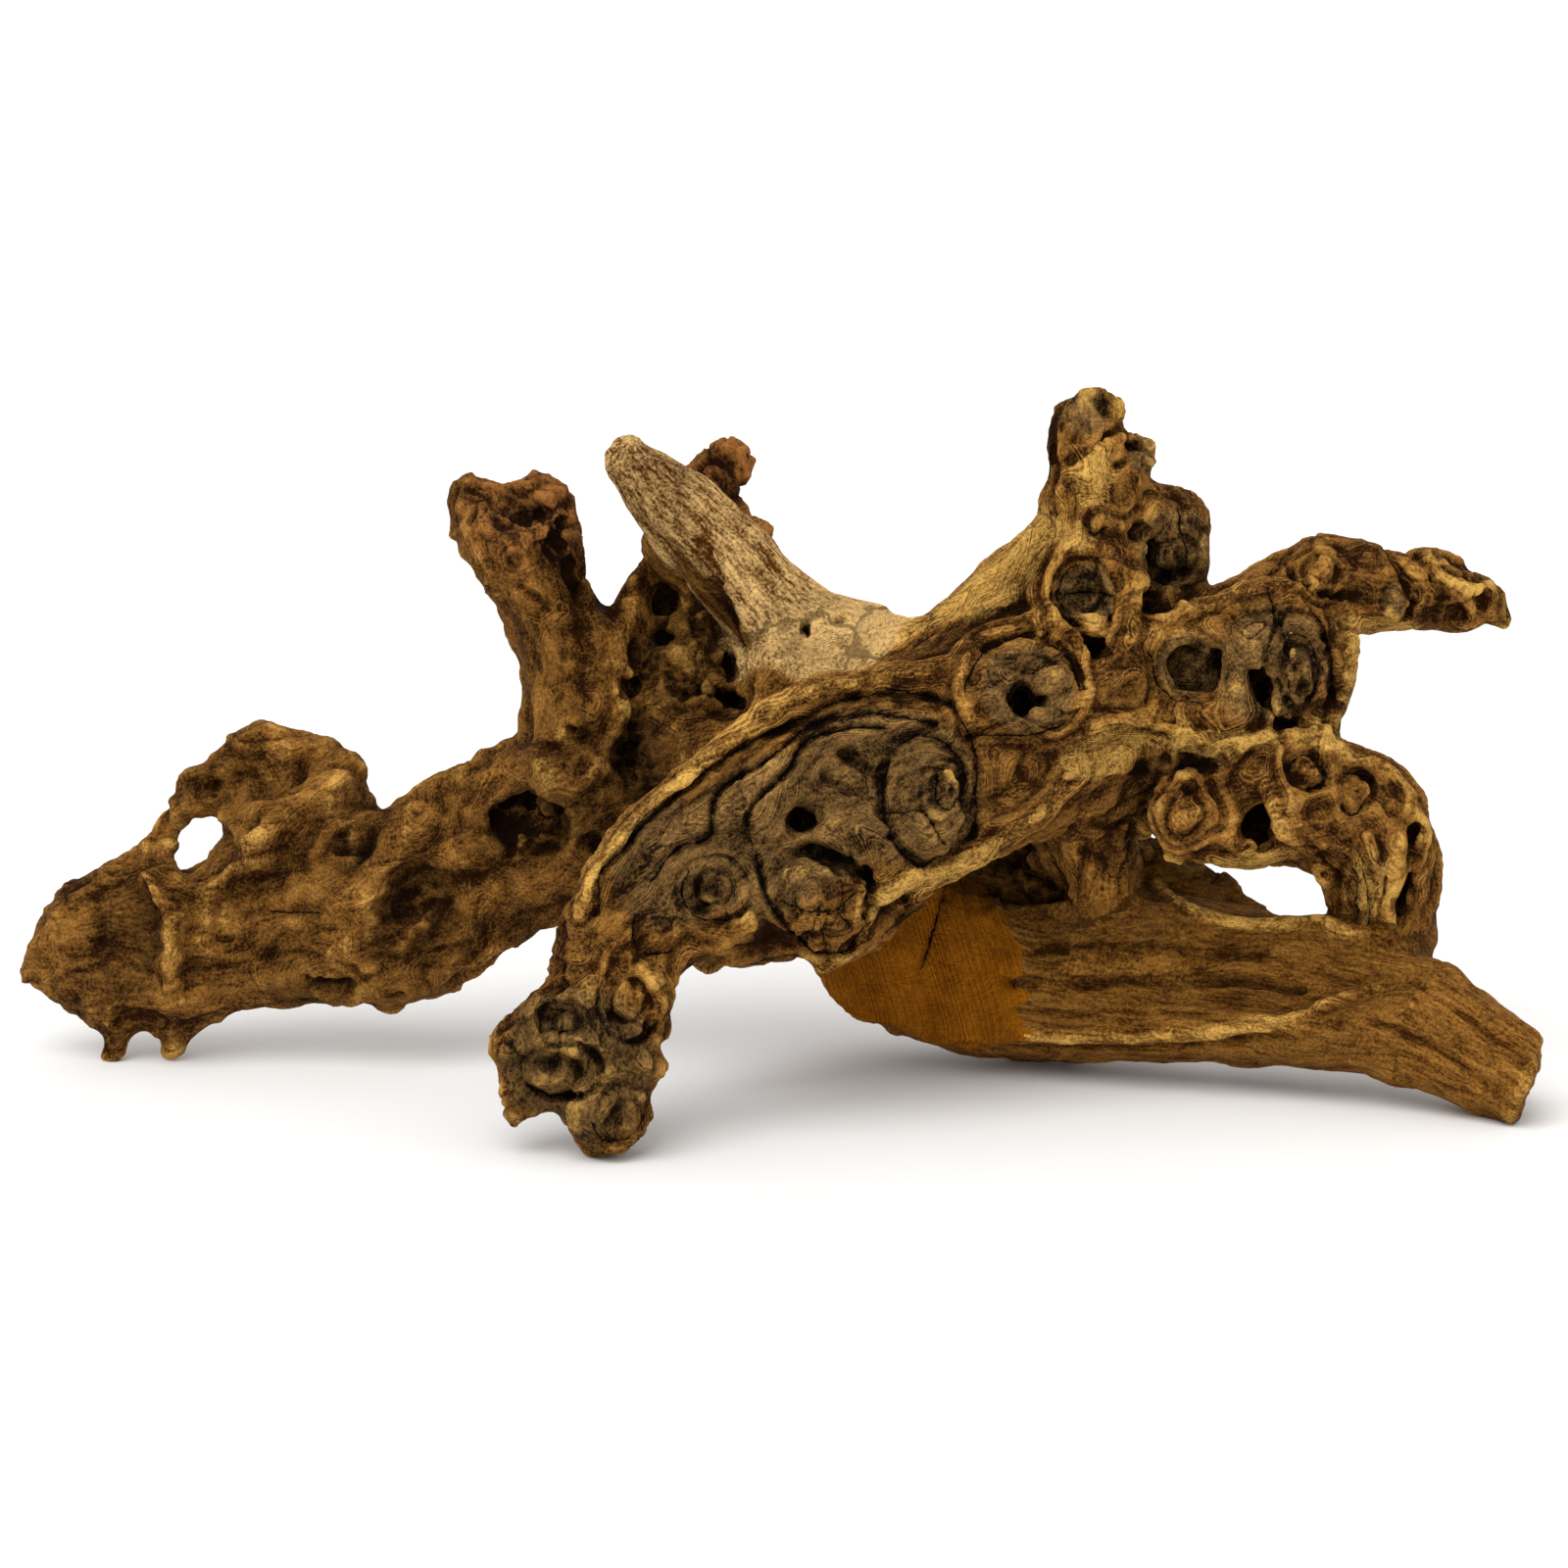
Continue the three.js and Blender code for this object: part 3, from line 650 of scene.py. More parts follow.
# %% The arm
ARM = {
    "end_dish": (bowl, (112, 980), (58, 100), 2.2, -4, 3, 12),
    "fin_root_rib": (ridge, [(346, 802), (321, 818), (268, 856), (236, 890)], 3.0, 1.5, 3, 0.2),
    "shoulder_rib": (ridge, [(58, 936), (100, 896), (146, 866), (170, 862)], 2.4, 1.0, 3.0, 0.2),
    "hole_rib": (ridge, [(228, 832), (250, 858), (276, 846)], 2.0, 0.8, 3.0, 0.15),
    "bowl_rib": (ridge, [(372, 976), (384, 1002), (396, 1026)], 2.2, 1.4, 3.0, 0.2),
    "middle_rib": (ridge, [(303, 900), (300, 940), (316, 968), (360, 970)], 2.0, 0.8, 3.0, 0.15),
    "fin_rib": (ridge, [(266, 742), (300, 762), (336, 770), (360, 778)], 2.4, 1.2, 3.0, 0.2),
    "fin_left_rib": (ridge, [(196, 792), (226, 790), (250, 760)], 2.4, 1.2, 3.0, 0.2),
    "notch_bead": (knob, (346, 884), (18, 14), 3, -20),
    "notch_rib": (knob, (366, 850), (8, 20), 2, -20),
    "bowl_left_lump": (knob, (404, 958), (16, 24), 3.5, 20),
    "bowl_top_lump": (knob, (436, 912), (14, 12), 3),
    "bowl_middle_lump": (knob, (428, 940), (10, 20), 2.5, -20),
    "under_dish": (bowl, (332, 1008), (34, 15), 1.6),
    "under_pit": (bowl, (408, 1011), (8, 7), 3),
    "middle_flat": (bowl, (252, 914), (44, 26), 1.6, 30, 3, 6),
    "lower_flat": (bowl, (270, 980), (60, 30), 1.4, 0, 3, 6),
    "fin_flat": (bowl, (286, 792), (44, 26), 2.0, 30, 3, 6),
    "nick_by_hole": (bowl, (212, 806), (14, 8), 2, 30),
}
carve(ARM)

# %% [markdown]
# ## The horn and its apron
# The horn broke off ragged at its top. An apron of wood hangs down its front and ends in a rolled lip,
# and under the lip the wood rotted to caves.
# The caves are cut first and lumps are put into them afterwards, which leaves webs as rot does.

# %% The horn
HORN = {
    "apron_edge": (ridge, [(640, 600), (640, 640), (630, 664), (637, 698), (631, 720), (624, 750),
        (608, 784)], 2.6, 2.6),
    "apron_lip": (ridge, [(608, 784), (586, 798), (560, 790), (552, 774)], 2.6, 2.6),
    "top_rib": (ridge, [(500, 528), (522, 546), (552, 544)], 1.8, 1.2, 3.0, 0.25),
    "left_rib": (ridge, [(470, 520), (486, 560), (508, 604)], 2.4, 1.2, 3.0, 0.3),
    "apron_bead": (knob, (648, 590), (11, 9), 2.0),
    "top_dish": (bowl, (528, 508), (24, 9), 1.4, -6),
    "left_nick": (bowl, (486, 500), (10, 6), 2),
    "right_nick": (bowl, (560, 500), (12, 6), 2, -20),
    "right_pit": (bowl, (572, 530), (10, 8), 2.5),
    "left_slit": (bowl, (508, 534), (14, 6), 2.0, -30),
    "middle_slit": (bowl, (540, 524), (14, 6), 2.5, 12),
    "deep_pit": (bowl, (564, 554), (12, 14), 4),
    "dish_under_top": (bowl, (592, 584), (20, 14), 2.5, -30),
    "scratch": (bowl, (540, 605), (16, 4), 1.4, -36),
    "apron_dish": (bowl, (594, 664), (28, 30), 2, 0, 2),
    "pit_by_apron": (bowl, (504, 765), (12, 6), 4, 15),
    "apron_scratch": (bowl, (578, 744), (16, 4), 2, -30),
    "cave": (bowl, (540, 826), (30, 24), 3, 20, 2.5),
    "cave_lump": (knob, (530, 838), (24, 18), 5, 0, 2.5),
    "cave_right_lump": (knob, (556, 826), (14, 12), 4, 0, 2),
    "cave_low_lump": (knob, (528, 856), (14, 14), 4),
    "cave_web": (knob, (562, 822), (10, 14), 4, 20),
    "cave_left_pit": (bowl, (516, 842), (14, 16), 2.5, 0, 2),
    "cave_low_web": (knob, (556, 850), (12, 10), 2.5, 30),
    "cave_right_pit": (bowl, (574, 846), (12, 8), 3, 20),
}
carve(HORN)

# %% [markdown]
# ## Caves behind, and the pale limb
# Between the horn and the pale limb the heart of the root rotted away and left caves and thin webs.
# The pale limb itself is sound sapwood: it has only a worm hole, a pit and a long flat.
# The caves are kept shallow enough that no light falls through the wood behind them.

# %% Caves and the pale limb
CAVES_AND_PALE_LIMB = {
    "upper_cave": (bowl, (676, 618), (14, 15), 2.5),
    "middle_cave": (bowl, (676, 651), (9, 8), 4),
    "left_cave": (bowl, (643, 704), (10, 12), 9),
    "cave_by_pale_limb": (bowl, (746, 678), (11, 19), 10, 15),
    "low_cave": (bowl, (746, 714), (20, 11), 9, -20),
    "wide_cave": (bowl, (698, 700), (20, 16), 4),
    "cave_by_apron": (bowl, (640, 770), (9, 30), 6),
    "web": (ridge, [(690, 640), (712, 664), (706, 690)], 1.8, 1.6),
    "low_lump": (knob, (664, 774), (20, 28), 2.0),
    "middle_lump": (knob, (690, 668), (14, 12), 2.2),
    "upper_lump": (knob, (716, 640), (10, 14), 2.0),
    "pale_flat": (groove, [(716, 560), (734, 600), (754, 644), (762, 676)], 4, 0.5, 3),
    "worm_hole": (bowl, (824, 643), (5, 8), 6),
    "pale_pit": (bowl, (859, 631), (9, 6), 2.5, 15),
    "spike_block": (knob, (744, 453), (15, 9), 1.0, 10, 1),
    "spike_side": (knob, (757, 474), (8, 22), 1.0, 0, 1),
}
carve(CAVES_AND_PALE_LIMB)

# %% [markdown]
# ## Which wood is hidden
# The far side and the underside have knots and hollows too, but no pixel shows where. A point counts
# as hidden where it lies well behind what its own pixel shows. Each hidden mark has to face the way
# its patch of wood faces, which the slope of the distances tells.

# %% Which wood is hidden
HIDDEN_GAP = 9.0  # millimetres behind the seen surface at which wood counts as hidden
CELLS_AROUND = 3  # cells on each side of one that tell which way the wood faces
ASIDE = (0.3, 0.9, 0.3)  # a direction that few patches of wood face


def block_surface():
    grid = vdb.FloatGrid(BAND * CELL)
    grid.copyFromArray(block, ijk=tuple(int(n) for n in first_cell))
    grid.transform = millimetres
    return grid.convertToQuads()


def is_hidden(point):
    scale = (1 - point[2] / EYE_DISTANCE) * PIXEL
    place = (PHOTO_SIDE / 2 + point[0] / scale, PHOTO_SIDE / 2 - point[1] / scale)
    return surface(place)[2] - point[2] >= HIDDEN_GAP


def cell_of(point):
    return np.rint((point - BLOCK_LOW) / CELL).astype(int)


def depth_of_wood(point):
    return -block[tuple(np.clip(cell_of(point), 0, np.array(block.shape) - 1))]


def axes_facing_out(point):
    near = block[tuple(slice(c - CELLS_AROUND, c + CELLS_AROUND + 1) for c in cell_of(point))]
    slopes = np.array([slope.mean() for slope in np.gradient(near)])
    out = slopes / np.linalg.norm(slopes)
    side = np.cross(out, ASIDE)
    side /= np.linalg.norm(side)
    return np.stack([side, np.cross(out, side), out])


seeds, _ = block_surface()
print("hidden marks are drawn from", len(seeds), "points of the surface")

# %% [markdown]
# ## Knots that the photograph doesn't show
# Hidden knots and hollows are scattered over the surface by seeded chance. A hollow is left out where
# it would eat through a thin wall, so that no light shines through the wood.

# %% Hidden knots
HIDDEN_KNOTS = 130
HALF_WIDTHS = (2.5, 9)  # millimetres
LENGTHS = (0.6, 1.0)  # shares of the half width, as the depths are
HOLLOW_DEPTHS = (0.3, 0.9)
LUMP_DEPTH = 0.6
LUMP_SUNK = 0.35
HOLLOW_CHANCE = 0.6
HOLLOW_EDGE, LUMP_EDGE = 1.2, 2.0  # millimetres
THIN_WALL = 4.0  # millimetres of wood that stay behind a hollow

made = 0
while made < HIDDEN_KNOTS:
    point = seeds[chance.integers(len(seeds))]
    if not is_hidden(point):
        continue
    width = chance.uniform(*HALF_WIDTHS)
    length = chance.uniform(*LENGTHS)
    axes = axes_facing_out(point)
    if chance.random() < HOLLOW_CHANCE:
        halves = np.array([width, width * length, width * chance.uniform(*HOLLOW_DEPTHS)])
        if depth_of_wood(point - axes[2] * (halves[2] + THIN_WALL)) < THIN_WALL / 2:
            continue
        cut, shape = ellipsoid(point, halves, axes, BOWL_ROOM)
        block[cut] = -smooth_min(-block[cut], shape, HOLLOW_EDGE)
    else:
        halves = np.array([width, width * length, width * LUMP_DEPTH])
        cut, shape = ellipsoid(point - axes[2] * width * LUMP_SUNK, halves, axes, BOWL_ROOM)
        block[cut] = smooth_min(block[cut], shape, LUMP_EDGE)
    knots.append((point, width / 2))
    made += 1
print("hidden knots bring the knots to", len(knots))

# %% [markdown]
# ## Cracks
# Drying wood cracks along its rings and across its knots. A crack is a thin line on the finished
# surface, so the lines are only laid down here, and are used twice later: the mesh sinks along them,
# and the material darkens them.

# %% Cracks
CRACKS = {
    "plate_rim": [(612, 926), (614, 892), (640, 862), (700, 806), (760, 762), (824, 730), (866, 712),
        (928, 706), (964, 718), (988, 742), (998, 776), (998, 812), (988, 850)],
    "plate_ring": [(668, 894), (690, 868), (722, 854), (726, 826), (742, 800), (790, 772), (822, 744),
        (860, 728), (908, 727), (950, 738)],
    "plate_inner_ring": [(768, 862), (762, 836), (776, 812), (806, 786), (824, 760), (856, 743),
        (900, 740)],
    "round_knot": [(936, 746), (912, 762), (899, 792), (900, 826), (912, 862), (938, 884), (966, 868),
        (984, 830), (984, 790), (966, 758), (936, 746)],
    "round_knot_inner": [(906, 826), (924, 826), (942, 825), (954, 842), (962, 860)],
    "round_knot_heart": [(958, 786), (970, 780), (982, 796), (980, 816), (968, 824), (958, 810),
        (958, 786)],
    "oval_knot": [(772, 872), (782, 916), (806, 952), (834, 972), (862, 970), (880, 946), (888, 912),
        (878, 884)],
    "oval_knot_arc": [(798, 920), (822, 932), (852, 934), (874, 916)],
    "oval_knot_split": [(836, 930), (830, 950), (824, 966)],
    "oval_knot_split_2": [(846, 934), (842, 954), (846, 968)],
    "oval_knot_split_3": [(856, 934), (868, 950)],
    "small_bowl": [(700, 892), (698, 914), (714, 936), (742, 942), (764, 926)],
    "lobe": [(650, 936), (650, 956), (666, 972), (686, 972)],
    "foot_bowl": [(534, 1084), (536, 1108), (560, 1122), (592, 1120)],
    "foot_heel": [(604, 1150), (612, 1166), (640, 1164), (662, 1140)],
    "socket_ring": [(986, 700), (996, 674), (1016, 659), (1040, 649), (1062, 643)],
    "socket_split": [(1066, 646), (1070, 658), (1088, 668), (1100, 688), (1102, 702)],
    "socket_foot": [(1000, 748), (1030, 750), (1060, 748), (1084, 738)],
    "upper_face": [(1094, 606), (1112, 606), (1134, 609)],
    "upper_face_split": [(1090, 588), (1084, 606), (1094, 630), (1112, 634)],
    "burl_bowl": [(1174, 668), (1180, 696), (1200, 712), (1224, 714)],
    "crescent_outer": [(1330, 614), (1346, 636), (1358, 666), (1362, 694), (1354, 718)],
    "crescent_inner": [(1314, 660), (1320, 649), (1332, 650), (1343, 667), (1348, 690), (1340, 714)],
    "crescent_split": [(1296, 606), (1302, 630), (1312, 650), (1314, 680), (1316, 716)],
    "hook_knot": [(1316, 786), (1324, 774), (1340, 772), (1352, 784), (1348, 802), (1334, 808)],
    "hook_knot_2": [(1372, 786), (1392, 790), (1398, 812), (1384, 832), (1368, 824)],
    "hook_band": [(1374, 872), (1384, 896), (1384, 940)],
    "hook_band_2": [(1394, 884), (1400, 908), (1400, 944)],
    "log_split": [(1046, 888), (1068, 900), (1090, 924)],
    "sawn_split": [(960, 916), (952, 944), (940, 984)],
    "horn_split": [(580, 570), (596, 582), (610, 596)],
    "horn_split_2": [(586, 596), (598, 584), (606, 572)],
    "arm_split": [(278, 932), (300, 934), (324, 932)],
    "top_facet": [(1106, 536), (1116, 546), (1128, 540)],
    "lobe_split": [(1200, 514), (1204, 538), (1212, 560), (1206, 588)],
}
crack_lines = [on_wood(places) for places in CRACKS.values()]
print(len(crack_lines), "cracks")

# %% [markdown]
# ## Back to a mesh
# The block turns back into a mesh where its distance is nought. Carving can leave a crumb of wood or a
# closed bubble, so only the largest connected piece is kept.

# %% Mesh
def largest_piece(points, quads):
    label = np.arange(len(points))
    while True:
        lowest = label[quads].min(1)
        joined = label.copy()
        for side in range(4):
            np.minimum.at(joined, quads[:, side], lowest)
        joined = joined[joined]
        if (joined == label).all():
            break
        label = joined
    keep = label == np.bincount(label).argmax()
    place = np.cumsum(keep) - 1
    return points[keep], place[quads[keep[quads[:, 0]]]]


points, quads = block_surface()
points, quads = largest_piece(points.astype(np.float32), quads)
print("the wood has", len(points), "points and", len(quads), "quads")

# %% [markdown]
# ## Limbs
# Fibres run along a limb. For each point the limb that it belongs to is the one whose axis is nearest
# for that limb's thickness. The place along that axis, squeezed, and the place across it make a second
# set of coordinates. Chance that is read there is stretched along the fibres. Groups of points painted
# by hand could name the limbs too, but they wouldn't tell the place along a fibre.

# %% Limbs
# Each limb is an axis in the eye's axes, a radius in millimetres and how far its fibres stretch.
LIMBS = {
    "pale_limb": ([[-40, 82, 4], [-16, 59, 0], [4, 36, -4], [20, 29, -2]], 10, 7.0),
    "log": ([[30, -40, -32], [77, -49, -22], [125, -53, -6], [161, -60, 9], [200, -82, 26]], 21, 8.0),
    "front_limb": ([[-43, -42, 49], [-9, -19, 38], [26, 0, 26], [67, 15, 14], [87, 20, 10]], 25, 3.5),
    "foot": ([[-44, -44, 49], [-50, -84, 52]], 18, 2.5),
    "top_limb": ([[77, 30, 8], [78, 75, 6], [79, 100, 6]], 15, 3.0),
    "crest": ([[30, 32, 8], [64, 62, 10]], 9, 5.0),
    "beak": ([[96, 26, 4], [139, 51, 1], [162, 50, -4], [186, 42, -6]], 13, 3.5),
    "hook": ([[103, -8, 16], [134, -4, 5], [150, -18, -4], [152, -39, -12], [150, -54, -16]], 14, 4.0),
    "arm": ([[-192, -47, -36], [-135, -35, -34], [-80, -21, -26], [-40, -2, -16], [0, 12, -6]], 23, 3.0),
    "horn": ([[-51, 0, -16], [-55, 36, -12], [-67, 78, -12]], 15, 3.5),
    "neck": ([[77, 4, 4], [76, -33, -18]], 14, 4.0),
    "spike": ([[-16, 92, -26], [-8, 55, -26]], 8, 5.0),
}
FIBRE_SHIFT = 37  # millimetres between the chance of one limb and that of the next
LEAST_LENGTH = 1e-3


def follow(points, line):
    nearest = np.full(len(points), np.inf, np.float32)
    across = np.zeros_like(points)
    along = np.zeros(len(points), np.float32)
    side = np.zeros(len(points), np.float32)
    gone = 0.0
    for start, end in zip(line.astype(np.float32), line[1:].astype(np.float32)):
        step = end - start
        length = max(float(np.linalg.norm(step)), LEAST_LENGTH)
        share = np.clip((points - start) @ step / length**2, 0, 1)
        offset = points - start - share[:, None] * step
        gap = np.linalg.norm(offset, axis=1)
        closer = gap < nearest
        nearest[closer] = gap[closer]
        across[closer] = offset[closer]
        along[closer] = gone + share[closer] * length
        side[closer] = np.sign(step[0] * offset[closer, 1] - step[1] * offset[closer, 0])
        gone += length
    return nearest, across, along, side


own_gap = np.full(len(points), np.inf, np.float32)
fibres = points.copy()
owner = np.zeros(len(points), int)
reaches = {}
for index, (name, (axis, radius, stretch)) in enumerate(LIMBS.items()):
    axis = np.array(axis, np.float32)
    gap, across, along, _ = follow(points, axis)
    reaches[name] = gap / radius
    own = reaches[name] < own_gap
    own_gap[own] = reaches[name][own]
    owner[own] = index
    heading = (axis[-1] - axis[0]) / np.linalg.norm(axis[-1] - axis[0])
    fibres[own] = across[own] + (along[own] / stretch)[:, None] * heading + FIBRE_SHIFT * index
limb_names = list(LIMBS)
print("points of each limb:", dict(zip(limb_names, np.bincount(owner).tolist())))

# %% [markdown]
# ## Zones of the wood
# The real root has several kinds of surface: the pale limb of sapwood and its crest, the log, the sawn
# face, the red broken ends, and the rough arm with its horn. Each zone is a share from nought to one
# that fades out at its edge, so that one wood passes into the next. It could be painted by hand; worked
# out from distances, it still fits when the shape changes.

# %% Zones
PALE_EDGE, CREST_EDGE, LOG_EDGE = (0.95, 1.4), (0.7, 1.25), (1.22, 1.55)  # radii over which a zone fades
PALE_TIP, PALE_GROWTH = 0.9, 0.01  # the pale limb's width at its tip, and its growth for each millimetre
SAWN_POINT = np.array([56.2, -45.2, -5.0], np.float32)
SAWN_FACING = np.array([-0.502, -0.05, 0.8635], np.float32)
SAWN_EDGE = (47.5, 0.22)  # millimetres across at the eye's height, and its lean for each one down
SAWN_FADE = (0.5, 1.2)  # millimetres from the saw's plane
SAWN_DEPTH = 5.0  # millimetres from the saw's plane within which the wood looks sawn
SAWN_SPILL = 3.0  # millimetres past its edge that the face still looks sawn
SAWN_WANDER, SAWN_WANDER_SIZE = 2.0, 3.0  # millimetres
RED_ENDS = {"horn": ((-66, 70, -8), 17), "spike": ((-16, 80, -26), 14), "spike_bit": ((-4, 64, -26), 6)}
RED_EDGE = (0.6, 1.3)
ROUGH_LIMBS = ("arm", "horn")


def step_up(values, low, high):
    share = np.clip((values - low) / (high - low), 0, 1)
    return share * share * (3 - 2 * share)


tip_gap = np.linalg.norm(points - np.float32(LIMBS["pale_limb"][0][0]), axis=1)
pale = 1 - step_up(reaches["pale_limb"] / (PALE_TIP + PALE_GROWTH * tip_gap), *PALE_EDGE)
crest = 1 - step_up(reaches["crest"], *CREST_EDGE)
log = 1 - step_up(reaches["log"], *LOG_EDGE)
sawn_gap = np.abs((points - SAWN_POINT) @ SAWN_FACING)
sawn = log * (1 - step_up(sawn_gap, *SAWN_FADE))
sawn_limit = SAWN_EDGE[0] - SAWN_EDGE[1] * points[:, 1] + SAWN_WANDER * lumps(points, SAWN_WANDER_SIZE)
sawn_face = sawn * (points[:, 0] < sawn_limit + SAWN_SPILL)
sawn_look = np.maximum(sawn_face, log * (sawn_gap < SAWN_DEPTH) * (points[:, 0] < sawn_limit))
limb = np.isin(owner, [limb_names.index(name) for name in ROUGH_LIMBS]).astype(np.float32)
red = np.zeros(len(points), np.float32)
for centre, radius in RED_ENDS.values():
    gap = np.linalg.norm(points - np.float32(centre), axis=1)
    red = np.maximum(red, 1 - step_up(gap / radius, *RED_EDGE))
print("shares of pale, log, limb:", float(pale.mean()), float(log.mean()), float(limb.mean()))

# %% [markdown]
# ## Growth rings
# Each year's wood wrapped round the knots and along the rims. The distance to the nearest knot or rim,
# melted together where several are near, rises evenly from each of them, so its even steps are rings.
# Blender's wave texture has only straight or round rings, so the distance is worked out here instead.
# One number at each point is enough: the mesh and the material both draw their rings from it.

# %% Growth rings
RING_BLEND = 3.0  # millimetres over which the rings of two knots melt together
RING_SPACING = 3.4  # millimetres, coarser than real years so that the rings show
RING_WANDER, RING_WANDER_SIZE = 1.6, 8.0  # millimetres
RING_SWELL, RING_SWELL_RATE = 1.5, 0.23  # good and bad years make wide and narrow rings
RIM_REACH = 14.0  # millimetres
LEAST_NEAR = 1e-30


def near_lines(points, lines, reach):
    nearest = np.full(len(points), reach, np.float32)
    sided = nearest.copy()
    for line in lines:
        inside = (points > line.min(0) - reach) & (points < line.max(0) + reach)
        close = np.flatnonzero(np.all(inside, axis=1))
        gap, _, _, side = follow(points[close], line)
        closer = gap < nearest[close]
        nearest[close[closer]] = gap[closer]
        sided[close[closer]] = (side * gap)[closer]
    return nearest, sided


rim_gap, _ = near_lines(points, rims, RIM_REACH)
near = np.exp(-rim_gap / RING_BLEND)
for centre, radius in knots:
    near += np.exp((radius - np.linalg.norm(points - np.float32(centre), axis=1)) / RING_BLEND)
ring = RING_WANDER * lumps(points, RING_WANDER_SIZE) - RING_BLEND * np.log(np.maximum(near, LEAST_NEAR))
turn = 2 * math.pi * ring / RING_SPACING
ring_wave = np.sin(turn + RING_SWELL * np.sin(turn * RING_SWELL_RATE))
print("rings every", RING_SPACING, "mm, up to", float(ring.max()), "mm from a knot or a rim")

# %% [markdown]
# ## Beside cracks and rims
# The material needs to know how near a point is to a crack and to a golden rim. Each crack also tells
# which side of it a point lies on: a number that passes through nought at the crack draws a finer line
# than the mesh's points are apart.

# %% Beside cracks and rims
CRACK_REACH = 5.0  # millimetres
RIM_LOOK_REACH = 6.0  # millimetres
RIM_WIDTH = 1.8  # millimetres

crack, crack_side = near_lines(points, crack_lines, CRACK_REACH)
rim = np.zeros(len(points), np.float32)
for line, shine in zip(rims, shines):
    gap, _ = near_lines(points, [line], RIM_LOOK_REACH)
    rim = np.maximum(rim, shine * np.exp(-((gap / RIM_WIDTH) ** 2)))
print("shares golden and cracked:", float((rim > RIM_SHINE).mean()), float((crack < RIM_WIDTH).mean()))

# %% [markdown]
# ## Faces of the wood
# Dark heartwood shows on the faces that the blast cut open, and ochre on the saddles between the limbs.
# Caves, undersides, some shaded faces and the pale limb's left flank get painted shade. All of these are
# laid down as ovals on the photograph, each with a place and half sizes in pixels and a lean in degrees.

# %% Faces of the wood
HEARTWOOD = {
    "plate": ((905, 800), (112, 92), -15),
    "plate_middle": ((795, 850), (120, 88), 30),
    "plate_end": ((690, 884), (72, 70), 45),
    "socket": ((1044, 704), (56, 52), 0),
    "upper_face": ((1108, 606), (32, 34), 0),
    "burl": ((1300, 680), (66, 68), 0),
    "burl_bowl": ((1212, 679), (40, 36), 0),
    "top_lobe": ((1196, 558), (48, 48), 0),
    "top_knob": ((1110, 422), (28, 22), 35),
    "top_nubs": ((1164, 462), (18, 26), 0),
    "foot": ((590, 1090), (90, 90), 0),
    "beak_facet": ((1422, 611), (15, 21), 12),
    "log_dip": ((1046, 908), (46, 32), 0),
}
OCHRE = {
    "saddle": ((1240, 757), (70, 16), 3),
    "saddle_left": ((1130, 766), (60, 24), 20),
    "saddle_right": ((1352, 745), (36, 18), 0),
    "crest": ((1020, 596), (24, 60), -45),
    "shoulder": ((1098, 547), (22, 18), 0),
    "top_shoulder": ((1116, 484), (24, 34), 0),
    "beak_root": ((1400, 640), (60, 14), 0),
    "burl_side": ((1380, 690), (10, 60), 0),
    "hook_side": ((1396, 904), (24, 40), 0),
    "hook_bow": ((1270, 880), (60, 12), 10),
    "plate_side": ((960, 890), (90, 16), 20),
}
# Painted shade: caves, and the dark places under the plate, the hook, the burl and the lobe.
CAVES = {
    "behind_pale_limb": ((700, 690), (60, 90), 15),
    "under_apron": ((545, 838), (60, 40), 15),
    "beside_apron": ((650, 760), (26, 60), 0),
    "under_plate": ((1010, 905), (70, 34), 10),
    "under_hook": ((1215, 880), (60, 24), -25),
    "under_burl": ((1212, 778), (60, 18), 10),
    "behind_lobe": ((1194, 584), (44, 26), 0),
}
# Painted shade on dishes, undersides, the log's top, the pale limb's side and tip, the neck and the foot.
SHADES = {
    "arm_dish": ((130, 966), (44, 76), -4),
    "arm_bowl": ((418, 940), (50, 60), 0),
    "arm_notch": ((356, 868), (26, 36), 0),
    "arm_under": ((320, 1010), (60, 16), 5),
    "log_under": ((1240, 1090), (190, 20), 3),
    "log_top": ((1120, 950), (90, 30), 0),
    "pale_side": ((722, 600), (18, 80), 38),
    "pale_tip": ((676, 500), (46, 60), 30),
    "neck": ((600, 800), (110, 60), 30),
    "foot": ((590, 1090), (90, 90), 0),
}
# Painted shade: on the pale limb's left flank the cream gives way to darker brown.
PALE_FLANK_SHADE = {
    "left": ((664, 578), (18, 46), 30),
    "low_left": ((728, 612), (13, 78), 40),
}
print(len(HEARTWOOD), "faces of heartwood and", len(OCHRE), "of ochre")

# %% [markdown]
# ## Ovals on the wood
# An oval becomes a flat ellipsoid on the wood, as deep as a face goes, and fades out at its edge. Its
# depth is the middle one of several places in it, so that a hole under its centre doesn't pull it back.

# %% Ovals on the wood
FACE_DEPTH = 16.0  # millimetres
FACE_EDGE = (0.6, 1.15)
AROUND = ((0, 0), (0.7, 0), (-0.7, 0), (0, 0.7), (0, -0.7))  # places in an oval that tell its depth


def ovals(points, places):
    share = np.zeros(len(points), np.float32)
    for place, half, lean in places.values():
        halves = np.array([half[0] * PIXEL, half[1] * PIXEL, FACE_DEPTH])
        axes = (leaning(lean) / halves[:, None]).astype(np.float32)
        seen = [surface((place[0] + a * half[0], place[1] + b * half[1])) for a, b in AROUND]
        centre = np.array([*surface(place)[:2], np.median([point[2] for point in seen])], np.float32)
        gap = np.linalg.norm((points - centre) @ axes.T, axis=1)
        share = np.maximum(share, 1 - step_up(gap, *FACE_EDGE))
    return share


heart = ovals(points, HEARTWOOD)
saddle = ovals(points, OCHRE)
caves = ovals(points, CAVES)
shades = ovals(points, SHADES)
flank_shade = ovals(points, PALE_FLANK_SHADE)
print("shares of heartwood, saddle, cave:", float(heart.mean()), float(saddle.mean()), float(caves.mean()))
